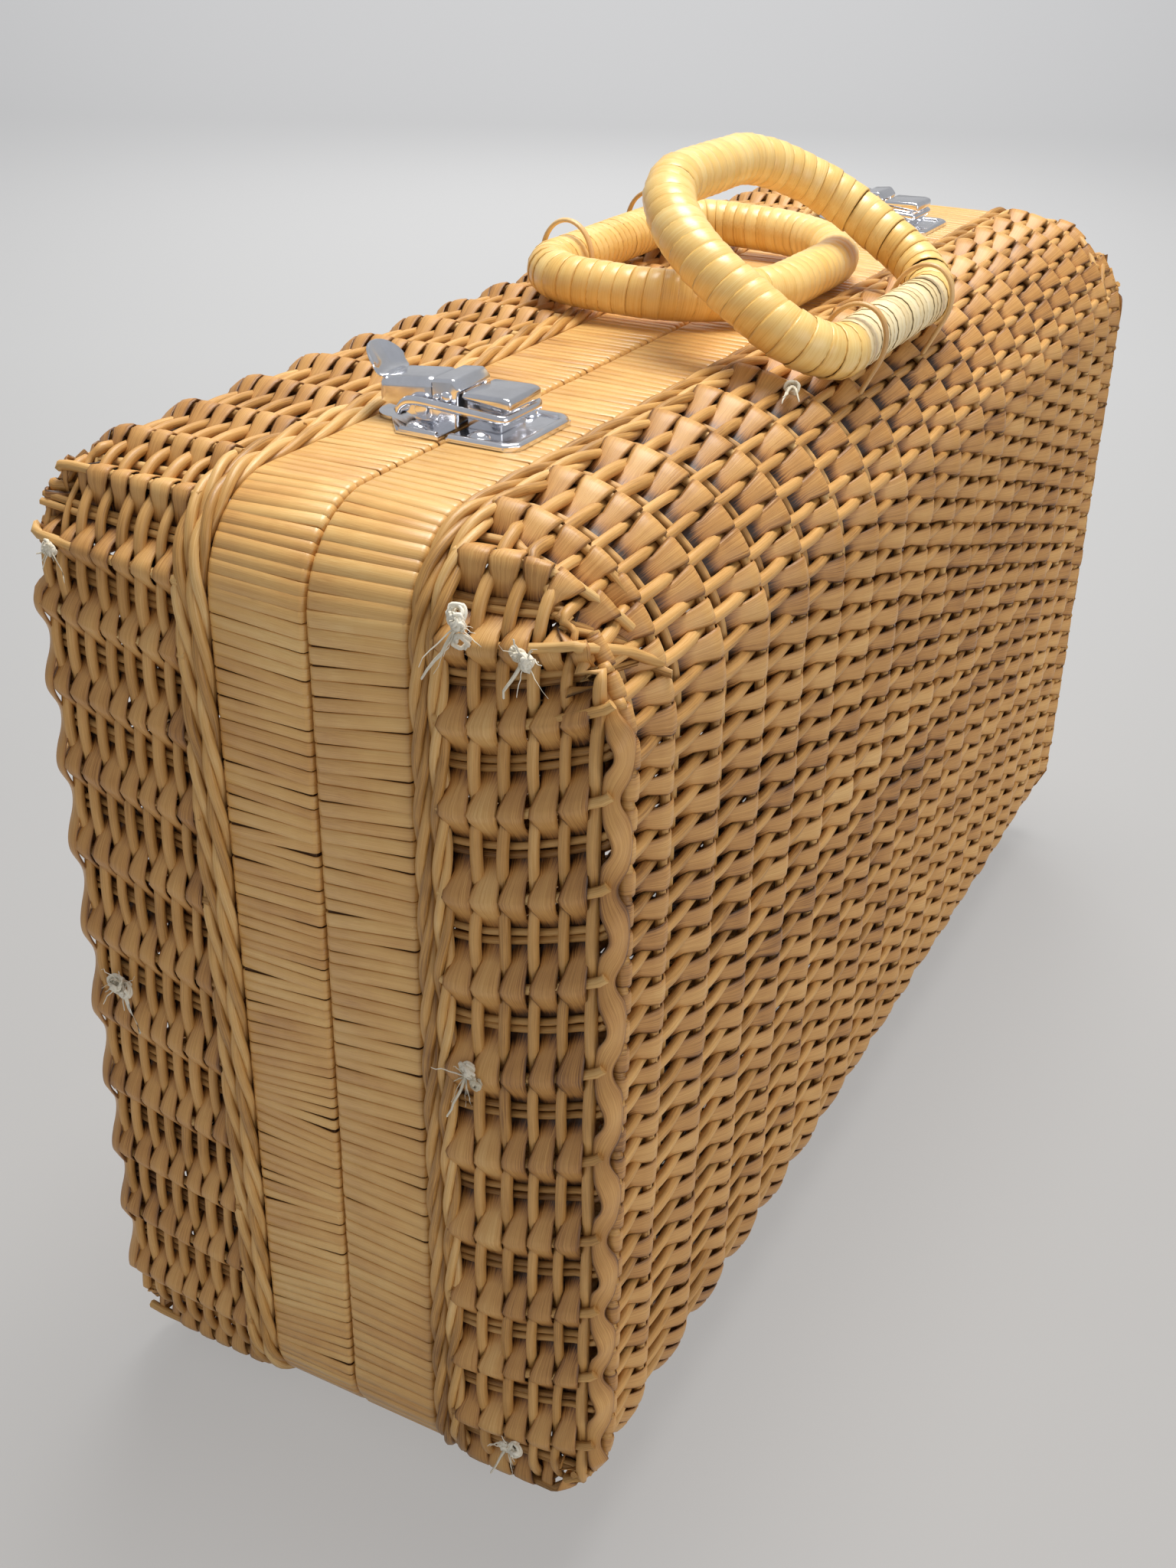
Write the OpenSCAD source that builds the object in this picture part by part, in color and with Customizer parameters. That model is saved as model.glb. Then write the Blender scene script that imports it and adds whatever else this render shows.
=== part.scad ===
/* [Case] */
// Length of the case from end to end
case_len = 456; // [400:1:520]
// Height of the case as it stands on its hinge side
case_h = 285; // [250:1:340]
// Depth of each half from the seam to its big face
half_d = 80; // [76:1:110]
// Corner radius of the woven walls, seen from the front
corner_r = 28; // [24:1:36]
// Rounding of the front half's top and bottom walls into its face
front_round = 46; // [20:1:46]
// Rounding of the rear half's top and bottom walls into its face
rear_round = 14; // [10:1:24]
// Rounding of the upright edges at the ends of both faces
end_round = 5; // [5:0.5:8]
// Thickness of the woven walls from crest to inside
wall_t = 5.6; // [5.2:0.1:5.8]

/* [Weave] */
// Number of stakes that the weave crests over on a face
face_stakes = 17; // [13:1:19]
// Number of stakes on each end wall
end_stakes = 10; // [8:1:12]
// Width of the crest over each stake
crest_w = 12; // [9:0.5:13]
// Depth of the hollows between the crests
hollow_depth = 3.4; // [2:0.1:3.5]
// Radius of the round reeds that cross the hollows
reed_r = 1.5; // [1.2:0.05:1.6]
// Distance between rows of weave on the faces and the front half's walls
row_pitch = 8; // [7:0.1:12]
// Distance between rows of weave on the rear half's walls
rear_row_pitch = 6.2; // [5.5:0.1:8]

/* [Rims] */
// Width of each wrapped rim band
band_w = 27; // [26:0.5:30]
// Depth of the bands below the crests of the weave
band_inset = 2.5; // [2.5:0.1:3]
// Thickness of the wooden hoop inside a band
hoop_t = 3.4; // [3:0.1:4]
// Thickness of the cane wound round the hoop
wrap_t = 0.9; // [0.7:0.1:1.2]
// Gap between the two bands at the seam
seam_gap = 0.5; // [0.4:0.1:1]
// Radius of each rod of the twined border
border_r = 2.35; // [2:0.05:2.4]

/* [Handles] */
// Half the straight length of a handle's base bar
base_half = 35; // [30:1:45]
// Bend radius at the ends of the base bar
base_bend = 20; // [16:1:26]
// Length of each straight arm
arm_len = 12; // [6:1:30]
// Bend radius of the shoulders
shoulder_bend = 38; // [20:1:44]
// Radius of the wooden core
core_r = 6.2; // [5:0.1:7]
// Thickness of the cane wound round the core
handle_wrap_t = 1.4; // [1:0.1:2]
// Shift of each handle from the middle of the case
handle_shift = 16; // [0:1:30]
// Lean of the front handle above the level at rest
front_lean = 32.5; // [30:0.5:40]

/* [Latches] */
// Distance of each latch from its end of the case
latch_from_end = 76; // [60:1:120]
// Half the width of the latch plates
plate_half = 15.5; // [15:0.5:18]
// Distance of the lever's pivot from the seam
pivot_y = 10.5; // [10:0.1:12]
// Height of the lever's pivot above the band
pivot_z = 4.5; // [4.3:0.1:5]
// Distance of the bail's pivot from the lever's pivot
crank = 6; // [5.5:0.1:6.5]
// Length of the bail from its pivot to its front bar
bail_len = 28.9; // [28:0.1:30]
// Radius of the bail's wire
bail_r = 1.1; // [1:0.05:1.2]

/* [Hinges] */
// Distance of each hinge from its end of the case
hinge_from_end = 78; // [60:1:140]
// Length of a hinge along the seam
hinge_len = 40; // [30:1:60]
// Width of each hinge leaf
leaf_w = 17; // [12:1:22]

/* [Hidden] */
$fn = 48;

// Sides of the seam and ends of the case
front = -1;
rear = 1;
near = -1;
far = 1;

// Stakes: the outermost ones, the shift of the others, the climb of those on the end walls, and
// those of an upper and a lower corner by their lean from upright
stake_edge = case_len / 2 - 26;
stake_shift = 4.2;
end_low = corner_r + 4;
end_high = case_h - 43;
end_shift = 3.4;
end_climb = 12;
end_zone = 8;
ridge_w = 6;
upper_stakes = [38, 82];
lower_stakes = [51];
stake_foot = 4;
inner_round = 0.5;

// Rows: a reed's place in its row, its depth, how far it stops from the outline,
// and how much closer the rows lie on the end walls
reed_place = 0.77;
reed_depth = 3.6;
reed_end = 12;
end_squeeze = 0.94;

// Layers of the rim, as depths below the crests
hoop_out = band_inset + wrap_t;
hoop_in = hoop_out + hoop_t;
band_in = hoop_in + wrap_t;
border_inset = 0.8;
border_gap = 0.3;
border_nest = 0.25;
border_pitch = 2 * border_r - border_nest;
border_first = band_w + border_gap + border_r;
shoulder_gap = 0.1;
shoulder_y = border_first + border_pitch + border_r + shoulder_gap;

// Rows of weave on the walls of each half, between the shoulder and the face
front_rows = floor((half_d - shoulder_y) / row_pitch);
rear_rows = floor((half_d - shoulder_y) / rear_row_pitch);

// Neck that carries the border, its flange, and the height of the bands
neck_out = border_inset + 2 * border_r;
flange_w = 3.5;
flange_out = 1;
band_top = case_h - band_inset;

// Running fits and rest gaps
pin_fit = 0.08;
slot_fit = 0.1;
rest_gap = 0.5;
bail_gap = 0.3;

// Outer radius and bends of a handle
grip_r = core_r + handle_wrap_t;
arm_u = base_half + base_bend;
shoulder_u = arm_u - shoulder_bend;
shoulder_v = base_bend + arm_len;
handle_h = shoulder_v + shoulder_bend;

// Axes of the two handles' base bars
rear_bar_y = 49;
rear_bar_z = case_h + grip_r + rest_gap;
rear_rest_gap = 0.7;
rear_drop = rear_bar_z - grip_r - rear_rest_gap - band_top;
rear_lean = -asin(rear_drop / handle_h);
front_bar_y = -58.5;
front_round_y = -(half_d - front_round);
front_round_z = case_h - front_round;
front_bar_reach = front_round + grip_r + rest_gap;
front_bar_z = front_round_z + sqrt(pow(front_bar_reach, 2) - pow(front_bar_y - front_round_y, 2));
front_bar_tilt = asin((front_round_y - front_bar_y) / front_bar_reach);

// Peel loops that hold the base bars
loop_spacing = 60;
loop_slack = 0.9;
loop_in = grip_r + loop_slack;
loop_t = 1.1;
loop_w = 5;
loop_under = 0.2;
loop_leg = grip_r + rest_gap + wall_t + loop_under + loop_t;

// Latch plate on the rear band
latch_x = case_len / 2 - latch_from_end;
plate_t = 1;
plate_start = 1;
plate_shoulder = 13;
tail_r = 7;
tail_y = band_w - tail_r - border_gap;
rib_r = 0.9;
lug_in = 4.6;
lug_t = 1.2;
lug_r = 3;

// Lever with its cheeks, pivot and thumb tab
cheek_in = 6.3;
lever_half = 7.5;
lever_start = pivot_y - lug_r;
lever_end = 29;
lever_top = 8.2;
lever_t = 1.2;
lever_lip = 1.2;
bead_r = 1;
boss_r = 2;
latch_pin_r = 1.1;
pin_head_r = 1.8;
pin_head_t = 0.5;
pin_head_gap = 0.1;
tab_curl = 12;
tab_turn = 58;
tab_r = lever_half + 1;
tab_out = 1.5;
tab_root = 4;

// Bail, from its pivot in the lever to its bar in front of the hook
bail_half = 9.4;
bail_over = 0.4;
bail_bar_z = plate_t + bail_over + bail_r;
bail_bend = 3;
bail_stub = 0.2;
crank_dip = 10;
bail_pivot_y = pivot_y + crank * cos(crank_dip);
bail_pivot_z = pivot_z - crank * sin(crank_dip);
bail_tilt = asin((bail_pivot_z - bail_bar_z) / bail_len);
bail_bar_y = bail_pivot_y - bail_len * cos(bail_tilt);

// Keeper on the front band and its hook
keeper_len = 20;
keeper_chamfer = 3;
hook_y = bail_bar_y + bail_r + bail_gap;
hook_reach = 2.6;
hook_rise = 1.6;
hook_under = bail_bar_z + bail_r + hook_rise;
hook_t = 2;
hook_half = 8;
hook_tail = 3;
block_half = 6;
block_end = 1.5;

// Rivets of latches and hinges
rivet_r = 1.2;
rivet_head_r = 1.8;
rivet_head_h = 1.1;
rivet_x = 11.8;
plate_rivet_y = 8.5;
tail_rivet_y = tail_y + 2;
keeper_rivet_y = 6.5;
cut = 1;

// Hinge details
hinge_x = case_len / 2 - hinge_from_end;
hinge_z = 1.9;
leaf_t = band_inset - hinge_z;
knuckle_r = 1.5;
knuckle_gap = 0.3;
knuckle_count = 5;
hinge_pin_r = 0.8;
knuckle_room = 0.4;
leaf_start = 2.2;
hinge_rivet_y = 12;
hinge_rivet_step = 12;

// Places of the cotton ties on the near end wall: depth from the seam and height
front_ties = [[41, case_h - 19], [57, case_h - 23], [41, 150], [52, 30]];
rear_ties = [[half_d - 14, 140], [half_d - 10, case_h - 23]];
tie_r = 2.2;
tie_pocket_r = 2.6;
tie_depth = 2.4;

module rounded(l, h, r) {
    square([l - 2 * r, h], center = true);
    square([l, h - 2 * r], center = true);
    for (x = [-1, 1], y = [-1, 1])
        translate([x * (l / 2 - r), y * (h / 2 - r)]) circle(r = r);
}

// Outline of the case seen from the front, drawn in by inset
module outline(inset)
    translate([0, case_h / 2]) rounded(case_len - 2 * inset, case_h - 2 * inset, corner_r - inset);

module ring(outer, inner)
    difference() {
        outline(outer);
        outline(inner);
    }

// Extrudes an outline from depth a to depth b on one side of the seam
module on_side(side, a, b)
    translate([0, max(side * a, side * b), 0]) rotate([90, 0, 0]) linear_extrude(b - a) children();

// Section of a half: square at the seam, rounded at the face
module section(side, d, w, r)
    mirror([side == front ? 1 : 0, 0]) {
        translate([0, -w / 2]) square([d - r, w]);
        translate([0, r - w / 2]) square([d, w - 2 * r]);
        for (v = [-1, 1]) translate([d - r, v * (w / 2 - r)]) circle(r = r);
    }

// A half of the case as a solid, drawn in by inset, from depth start to its face
module half(side, face_round, inset, start)
    intersection() {
        on_side(side, start, half_d - inset) outline(inset);
        translate([-case_len / 2, 0, case_h / 2]) rotate([90, 0, 90]) linear_extrude(case_len)
            section(side, half_d - inset, case_h - 2 * inset, face_round - inset);
        linear_extrude(case_h) rotate(90)
            section(side, half_d - inset, case_len - 2 * inset, max(end_round - inset, inner_round));
    }

// Places of the stakes across a face and up an end wall
function stake_x(k) = let(u = 2 * k / (face_stakes - 1) - 1)
    stake_edge * u + stake_shift * (1 - u * u);
function stake_z(k) = let(u = k / (end_stakes - 1))
    end_low + (end_high - end_low) * u - end_shift * sin(360 * u);

// Slabs that hold the crests over the stakes
module face_crests()
    for (k = [0 : face_stakes - 1])
        translate([stake_x(k) - crest_w / 2, -half_d - cut, -cut])
            cube([crest_w, 2 * (half_d + cut), case_h + 2 * cut]);

module end_crests(side) {
    y = [shoulder_y - cut, (shoulder_y + half_d) / 2, half_d + cut];
    climb = [0, end_climb / 3, end_climb];
    for (end = [near, far], k = [0 : end_stakes - 1])
        translate([end * (case_len / 2 - end_zone / 2), 0, stake_z(k)]) rotate([90, 0, -90])
            linear_extrude(end_zone, center = true) scale([-side, 1])
                polygon([for (v = [-1, 1], i = v < 0 ? [0, 1, 2] : [2, 1, 0])
                    [y[i], climb[i] + v * crest_w / 2]]);
}

module corner_crests()
    for (end = [near, far], up = [-1, 1], a = up > 0 ? upper_stakes : lower_stakes)
        translate([end * (case_len / 2 - corner_r), 0, case_h / 2 + up * (case_h / 2 - corner_r)])
            rotate([0, end * (up > 0 ? a : 180 - a), 0]) translate([-crest_w / 2, -half_d - cut, stake_foot])
                cube([crest_w, 2 * (half_d + cut), corner_r]);

module ridges(side)
    for (end = [near, far])
        translate([end * (case_len / 2 - ridge_w / 2), side * (half_d - ridge_w / 2), case_h / 2])
            cube([ridge_w + cut, ridge_w + cut, case_h - 2 * corner_r], center = true);

// Point and lean of the surface at a distance from the shoulder, over the top and down the face
function over_top(r, t) = let(
    flat = half_d - r - shoulder_y,
    start = flat < 0 ? asin(-flat / r) : 0,
    a = start + (t - max(flat, 0)) * 180 / (PI * r),
    down = t - max(flat, 0) - r * (90 - start) * PI / 180)
    t < flat ? [shoulder_y + t, case_h, 0]
        : a < 90 ? [half_d - r + r * sin(a), case_h - r + r * cos(a), a] : [half_d, case_h - r - down, 90];

// Reed along the case at a point of the surface, on the upper or the lower half of the height
module long_reed(side, p, up) {
    z = p[1] - reed_depth * cos(p[2]) - case_h / 2;
    over = max(z + case_h / 2 - (case_h - corner_r), 0);
    l = case_len / 2 - corner_r + sqrt(pow(corner_r, 2) - pow(over, 2)) - reed_end;
    translate([-l, side * (p[0] - reed_depth * sin(p[2])), case_h / 2 + up * z])
        rotate([0, 90, 0]) cylinder(r = reed_r, h = 2 * l);
}

// Round reeds that cross the hollows, a few to each wall and the rest down the face
module reeds(side, face_round) {
    rows = side == front ? front_rows : rear_rows;
    pitch = side == front ? row_pitch : rear_row_pitch;
    start = rows * pitch;
    middle = over_top(face_round, start);
    half_run = start + face_round * (90 - middle[2]) * PI / 180 + case_h / 2 - face_round;
    face_rows = floor((half_run - start) / row_pitch);
    for (k = [0 : rows - 1], up = [-1, 1])
        long_reed(side, over_top(face_round, (k + reed_place) * pitch), up);
    for (k = [0 : face_rows - 1], up = [-1, 1])
        long_reed(side, over_top(face_round, start + (k + reed_place) * row_pitch), up);
    for (k = [0 : rows - 1], end = [near, far]) {
        y = shoulder_y + (k + reed_place) * pitch * end_squeeze;
        translate([end * (case_len / 2 - reed_depth), side * y, corner_r])
            cylinder(r = reed_r, h = case_h - 2 * corner_r);
    }
}

module basket(side, face_round) {
    difference() {
        union() {
            half(side, face_round, hollow_depth, shoulder_y);
            intersection() {
                half(side, face_round, 0, shoulder_y);
                union() {
                    face_crests();
                    end_crests(side);
                    corner_crests();
                    ridges(side);
                }
            }
            reeds(side, face_round);
        }
        half(side, face_round, wall_t, shoulder_y - cut);
    }
    on_side(side, band_w, shoulder_y + flange_w) ring(neck_out, band_in);
    on_side(side, shoulder_y, shoulder_y + flange_w) ring(flange_out, band_in);
}

// A round rod that follows the outline at one depth
module rod_loop(inset, y, r) {
    l = case_len / 2 - corner_r;
    h = case_h / 2 - corner_r;
    bend = corner_r - inset;
    translate([0, y, case_h / 2]) rotate([90, 0, 0]) {
        for (k = [0 : 3])
            translate([(k == 0 || k == 3 ? 1 : -1) * l, (k < 2 ? 1 : -1) * h, 0])
                rotate(90 * k) rotate_extrude(angle = 90) translate([bend, 0]) circle(r = r);
        for (s = [-1, 1]) {
            translate([-l, s * (h + bend), 0]) rotate([0, 90, 0]) cylinder(r = r, h = 2 * l);
            translate([s * (l + bend), h, 0]) rotate([90, 0, 0]) cylinder(r = r, h = 2 * h);
        }
    }
}

module border(side)
    for (k = [0, 1])
        rod_loop(border_inset + border_r, side * (border_first + k * border_pitch), border_r);

// Places of the fasteners
module at_latch(end) translate([end * latch_x, 0, band_top]) children();

module at_plate_rivets() {
    for (x = [-1, 1]) translate([x * rivet_x, plate_rivet_y, 0]) children();
    translate([0, tail_rivet_y, 0]) children();
}

module at_keeper_rivets()
    for (x = [-1, 1]) translate([x * rivet_x, -keeper_rivet_y, 0]) children();

module at_hinge_rivets(side)
    for (end = [near, far], k = [-1, 0, 1])
        translate([end * hinge_x + k * hinge_rivet_step, side * hinge_rivet_y, hinge_z]) children();

module shank_down(clear) translate([0, 0, -(band_in - band_inset) - cut])
    cylinder(r = rivet_r + clear, h = band_in - band_inset + 2 * cut);

// Bores through a band for the latch and hinge rivets, and room for the hinge knuckles
module band_bores(side) {
    for (end = [near, far]) {
        at_latch(end) {
            if (side == rear) at_plate_rivets() shank_down(slot_fit);
            else at_keeper_rivets() shank_down(slot_fit);
        }
        translate([end * hinge_x - hinge_len / 2 - knuckle_room, 0, hinge_z]) rotate([0, 90, 0])
            cylinder(r = knuckle_r + knuckle_room, h = hinge_len + 2 * knuckle_room);
    }
    at_hinge_rivets(side) cylinder(r = rivet_r + slot_fit, h = band_in);
}

module hoop(side)
    difference() {
        on_side(side, seam_gap / 2 + wrap_t, band_w - wrap_t) ring(hoop_out, hoop_in);
        band_bores(side);
    }

module wrap(side)
    difference() {
        on_side(side, seam_gap / 2, band_w) ring(band_inset, band_in);
        on_side(side, seam_gap / 2 + wrap_t, band_w - wrap_t) ring(hoop_out, hoop_in);
        band_bores(side);
    }

// Cotton ties, each a small knot in a pocket of the near end wall
module at_ties(side)
    for (t = side == front ? front_ties : rear_ties)
        translate([-case_len / 2, side * t[0], t[1]]) rotate([0, 90, 0]) children();

module tie_pockets(side) at_ties(side) translate([0, 0, -cut])
    cylinder(r = tie_pocket_r, h = tie_depth + cut);

module ties(side) at_ties(side) cylinder(r = tie_r, h = tie_depth);

// Peel loop round a base bar, with its legs through the wall and a turn under it
module loop_solid(clear)
    rotate([90, 0, 90]) translate([0, 0, -(loop_w / 2 + clear)]) linear_extrude(loop_w + 2 * clear)
        difference() {
            union() {
                circle(r = loop_in + loop_t + clear);
                translate([-(loop_in + loop_t + clear), -loop_leg - clear])
                    square([2 * (loop_in + loop_t + clear), loop_leg + clear]);
            }
            circle(r = loop_in - clear);
            translate([-(loop_in - clear), loop_t + clear - loop_leg])
                square([2 * (loop_in - clear), loop_leg - loop_t - clear]);
        }

module at_bar(side)
    translate(side == rear ? [handle_shift, rear_bar_y, rear_bar_z]
        : [-handle_shift, front_bar_y, front_bar_z]) children();

module at_loop(side, end)
    at_bar(side) translate([end * loop_spacing / 2, 0, 0])
        rotate([side == front ? front_bar_tilt : 0, 0, 0]) children();

// A handle's ring in its own plane: base bar along X, grip towards +Y
module bar(r) translate([-base_half, 0, 0]) rotate([0, 90, 0]) cylinder(r = r, h = 2 * base_half);

module bend(u, v, radius, from, r)
    translate([u, v, 0]) rotate(from) rotate_extrude(angle = 90) translate([radius, 0]) circle(r = r);

module bow(r) {
    for (s = [0, 1]) mirror([s, 0, 0]) {
        bend(base_half, base_bend, base_bend, -90, r);
        translate([arm_u, base_bend, 0]) rotate([-90, 0, 0]) cylinder(r = r, h = arm_len);
        bend(shoulder_u, shoulder_v, shoulder_bend, 0, r);
    }
    translate([-shoulder_u, handle_h, 0]) rotate([0, 90, 0]) cylinder(r = r, h = 2 * shoulder_u);
}

module at_handle(side)
    at_bar(side) rotate([side == front ? front_lean : 180 - rear_lean, 0, 0]) children();

module handle_core(side) at_handle(side) {
    bar(core_r);
    bow(core_r);
}

module handle_wrap(side) at_handle(side) difference() {
    bow(grip_r);
    bow(core_r);
}

module handle_base_wrap(side) at_handle(side) difference() {
    bar(grip_r);
    bar(core_r);
}

// Latch, drawn at the seam with the band's surface at zero height
module dome() intersection() {
    cap_r = (pow(rivet_head_r, 2) + pow(rivet_head_h, 2)) / (2 * rivet_head_h);
    translate([0, 0, rivet_head_h - cap_r]) sphere(r = cap_r);
    cylinder(r = 2 * rivet_head_r, h = 2 * rivet_head_h);
}

module rivet() {
    translate([0, 0, plate_t]) dome();
    translate([0, 0, -(band_in - band_inset)]) cylinder(r = rivet_r, h = band_in - band_inset + plate_t);
}

module rivet_hole() translate([0, 0, -cut]) cylinder(r = rivet_r, h = plate_t + 2 * cut);

module across(x0, x1, y, z, r) translate([x0, y, z]) rotate([0, 90, 0]) cylinder(r = r, h = x1 - x0);

module side_ribs(start, length)
    for (x = [-1, 1]) translate([x * (plate_half - rib_r), start, plate_t]) rotate([-90, 0, 0])
        cylinder(r = rib_r, h = length);

module lugs()
    for (x = [-lug_in - lug_t, lug_in]) translate([x, 0, 0]) rotate([90, 0, 90]) linear_extrude(lug_t) {
        translate([pivot_y, pivot_z]) circle(r = lug_r);
        translate([pivot_y - lug_r, 0]) square([2 * lug_r, pivot_z]);
    }

module latch_plate() difference() {
    union() {
        linear_extrude(plate_t) {
            polygon([[-plate_half, plate_start], [plate_half, plate_start], [plate_half, plate_shoulder],
                [tail_r, tail_y], [-tail_r, tail_y], [-plate_half, plate_shoulder]]);
            translate([0, tail_y]) circle(r = tail_r);
        }
        side_ribs(plate_start + rib_r, plate_shoulder - plate_start - 2 * rib_r);
        lugs();
    }
    across(-plate_half, plate_half, pivot_y, pivot_z, latch_pin_r);
    at_plate_rivets() rivet_hole();
}

module latch_pin() {
    shank_half = lever_half + pin_head_gap;
    across(-shank_half, shank_half, pivot_y, pivot_z, latch_pin_r);
    for (x = [-shank_half - pin_head_t, shank_half]) across(x, x + pin_head_t, pivot_y, pivot_z, pin_head_r);
}

module lever_cheek() rotate([90, 0, 90]) linear_extrude(lever_half - cheek_in) {
    polygon([[lever_start, pivot_z], [lever_start, lever_top], [lever_end, lever_top],
        [lever_end, lever_top - lever_lip], [bail_pivot_y + boss_r, bail_pivot_z - boss_r / 3],
        [bail_pivot_y, bail_pivot_z - boss_r], [pivot_y, pivot_z - lug_r]]);
    translate([pivot_y, pivot_z]) circle(r = lug_r);
    translate([bail_pivot_y, bail_pivot_z]) circle(r = boss_r);
}

// Thumb tab: a round paddle that curls up from the lever's end
module thumb_tab() intersection() {
    translate([-tab_r, lever_end, lever_top + tab_curl]) rotate([90, 0, 90]) rotate(-90)
        rotate_extrude(angle = tab_turn) translate([tab_curl - lever_t, 0]) square([lever_t, 2 * tab_r]);
    translate([0, lever_end + tab_out, 0]) linear_extrude(lever_top + 2 * tab_curl) {
        circle(r = tab_r);
        translate([-lever_half, -tab_root]) square([2 * lever_half, tab_root]);
    }
}

module latch_lever() difference() {
    union() {
        for (x = [-lever_half, cheek_in]) translate([x, 0, 0]) lever_cheek();
        translate([-lever_half, lever_start, lever_top])
            cube([2 * lever_half, lever_end - lever_start, lever_t]);
        across(-lever_half, lever_half, lever_start + bead_r, lever_top + lever_t, bead_r);
        thumb_tab();
    }
    across(-plate_half, plate_half, pivot_y, pivot_z, latch_pin_r + pin_fit);
    across(-plate_half, plate_half, bail_pivot_y, bail_pivot_z, bail_r + pin_fit);
}

module latch_bail() translate([0, bail_pivot_y, bail_pivot_z]) rotate([bail_tilt, 0, 0]) {
    for (s = [0, 1]) mirror([s, 0, 0]) {
        across(cheek_in - bail_stub, bail_half, 0, 0, bail_r);
        translate([bail_half, 0, 0]) sphere(r = bail_r);
        translate([bail_half, 0, 0]) rotate([90, 0, 0]) cylinder(r = bail_r, h = bail_len - bail_bend);
        translate([bail_half - bail_bend, bail_bend - bail_len, 0]) rotate(-90)
            rotate_extrude(angle = 90) translate([bail_bend, 0]) circle(r = bail_r);
    }
    across(bail_bend - bail_half, bail_half - bail_bend, -bail_len, 0, bail_r);
}

module keeper_sheet() {
    corner_x = plate_half - keeper_chamfer;
    corner_y = keeper_chamfer - keeper_len;
    linear_extrude(plate_t)
        polygon([[-plate_half, -plate_start], [plate_half, -plate_start], [plate_half, corner_y],
            [corner_x, -keeper_len], [-corner_x, -keeper_len], [-plate_half, corner_y]]);
    side_ribs(corner_y, -plate_start - rib_r - corner_y);
    across(-corner_x, corner_x, rib_r - keeper_len, plate_t, rib_r);
}

module latch_keeper() {
    difference() {
        keeper_sheet();
        at_keeper_rivets() rivet_hole();
    }
    translate([-block_half, hook_y, plate_t])
        cube([2 * block_half, -hook_y - block_end, hook_under - plate_t]);
    translate([-hook_half, hook_y - hook_reach, hook_under])
        cube([2 * hook_half, hook_reach - hook_y + hook_tail, hook_t]);
}

// Hinge leaf with its own knuckles, under the band at the seam
module hinge_leaf(side, end) {
    step = hinge_len / knuckle_count;
    barrel = step - knuckle_gap;
    bore_r = hinge_pin_r + (side == front ? pin_fit : 0);
    difference() {
        translate([end * hinge_x - hinge_len / 2, 0, hinge_z]) {
            translate([0, side == rear ? leaf_start : -leaf_w, 0])
                cube([hinge_len, leaf_w - leaf_start, leaf_t]);
            for (k = [side == rear ? 0 : 1 : 2 : knuckle_count - 1])
                translate([k * step + knuckle_gap / 2, 0, 0]) {
                    across(0, barrel, 0, 0, knuckle_r);
                    translate([0, side == rear ? 0 : -leaf_start, 0]) cube([barrel, leaf_start, leaf_t]);
                }
        }
        across(-case_len / 2, case_len / 2, 0, hinge_z, bore_r);
        at_hinge_rivets(side) translate([0, 0, -cut]) cylinder(r = rivet_r, h = leaf_t + 2 * cut);
    }
}

module hinge_pin(end)
    across(end * hinge_x - hinge_len / 2, end * hinge_x + hinge_len / 2, 0, hinge_z, hinge_pin_r);

module hinge_rivets(side) at_hinge_rivets(side) cylinder(r = rivet_r, h = band_in - hinge_z);

module rear_basket() color("burlywood") difference() {
    basket(rear, rear_round);
    for (end = [near, far]) at_loop(rear, end) loop_solid(slot_fit);
    tie_pockets(rear);
}

module front_basket() color("burlywood") difference() {
    basket(front, front_round);
    for (end = [near, far]) at_loop(front, end) loop_solid(slot_fit);
    tie_pockets(front);
}

module rear_rim_hoop() color("peru") hoop(rear);
module front_rim_hoop() color("peru") hoop(front);
module rear_rim_wrap() color("sandybrown") wrap(rear);
module front_rim_wrap() color("sandybrown") wrap(front);
module rear_border() color("tan") border(rear);
module front_border() color("tan") border(front);
module rear_thread_ties() color("white") ties(rear);
module front_thread_ties() color("white") ties(front);

module near_latch_plate() color("silver") at_latch(near) latch_plate();
module far_latch_plate() color("silver") at_latch(far) latch_plate();
module near_latch_plate_rivets() color("gainsboro") at_latch(near) at_plate_rivets() rivet();
module far_latch_plate_rivets() color("gainsboro") at_latch(far) at_plate_rivets() rivet();
module near_latch_pin() color("gainsboro") at_latch(near) latch_pin();
module far_latch_pin() color("gainsboro") at_latch(far) latch_pin();
module near_latch_lever() color("silver") at_latch(near) latch_lever();
module far_latch_lever() color("silver") at_latch(far) latch_lever();
module near_latch_bail() color("gainsboro") at_latch(near) latch_bail();
module far_latch_bail() color("gainsboro") at_latch(far) latch_bail();
module near_latch_keeper() color("silver") at_latch(near) latch_keeper();
module far_latch_keeper() color("silver") at_latch(far) latch_keeper();
module near_latch_keeper_rivets() color("gainsboro") at_latch(near) at_keeper_rivets() rivet();
module far_latch_keeper_rivets() color("gainsboro") at_latch(far) at_keeper_rivets() rivet();

module near_hinge_rear_leaf() color("lightsteelblue") hinge_leaf(rear, near);
module near_hinge_front_leaf() color("lightsteelblue") hinge_leaf(front, near);
module near_hinge_pin() color("gray") hinge_pin(near);
module far_hinge_rear_leaf() color("lightsteelblue") hinge_leaf(rear, far);
module far_hinge_front_leaf() color("lightsteelblue") hinge_leaf(front, far);
module far_hinge_pin() color("gray") hinge_pin(far);
module hinge_rear_rivets() color("gray") hinge_rivets(rear);
module hinge_front_rivets() color("gray") hinge_rivets(front);

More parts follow.
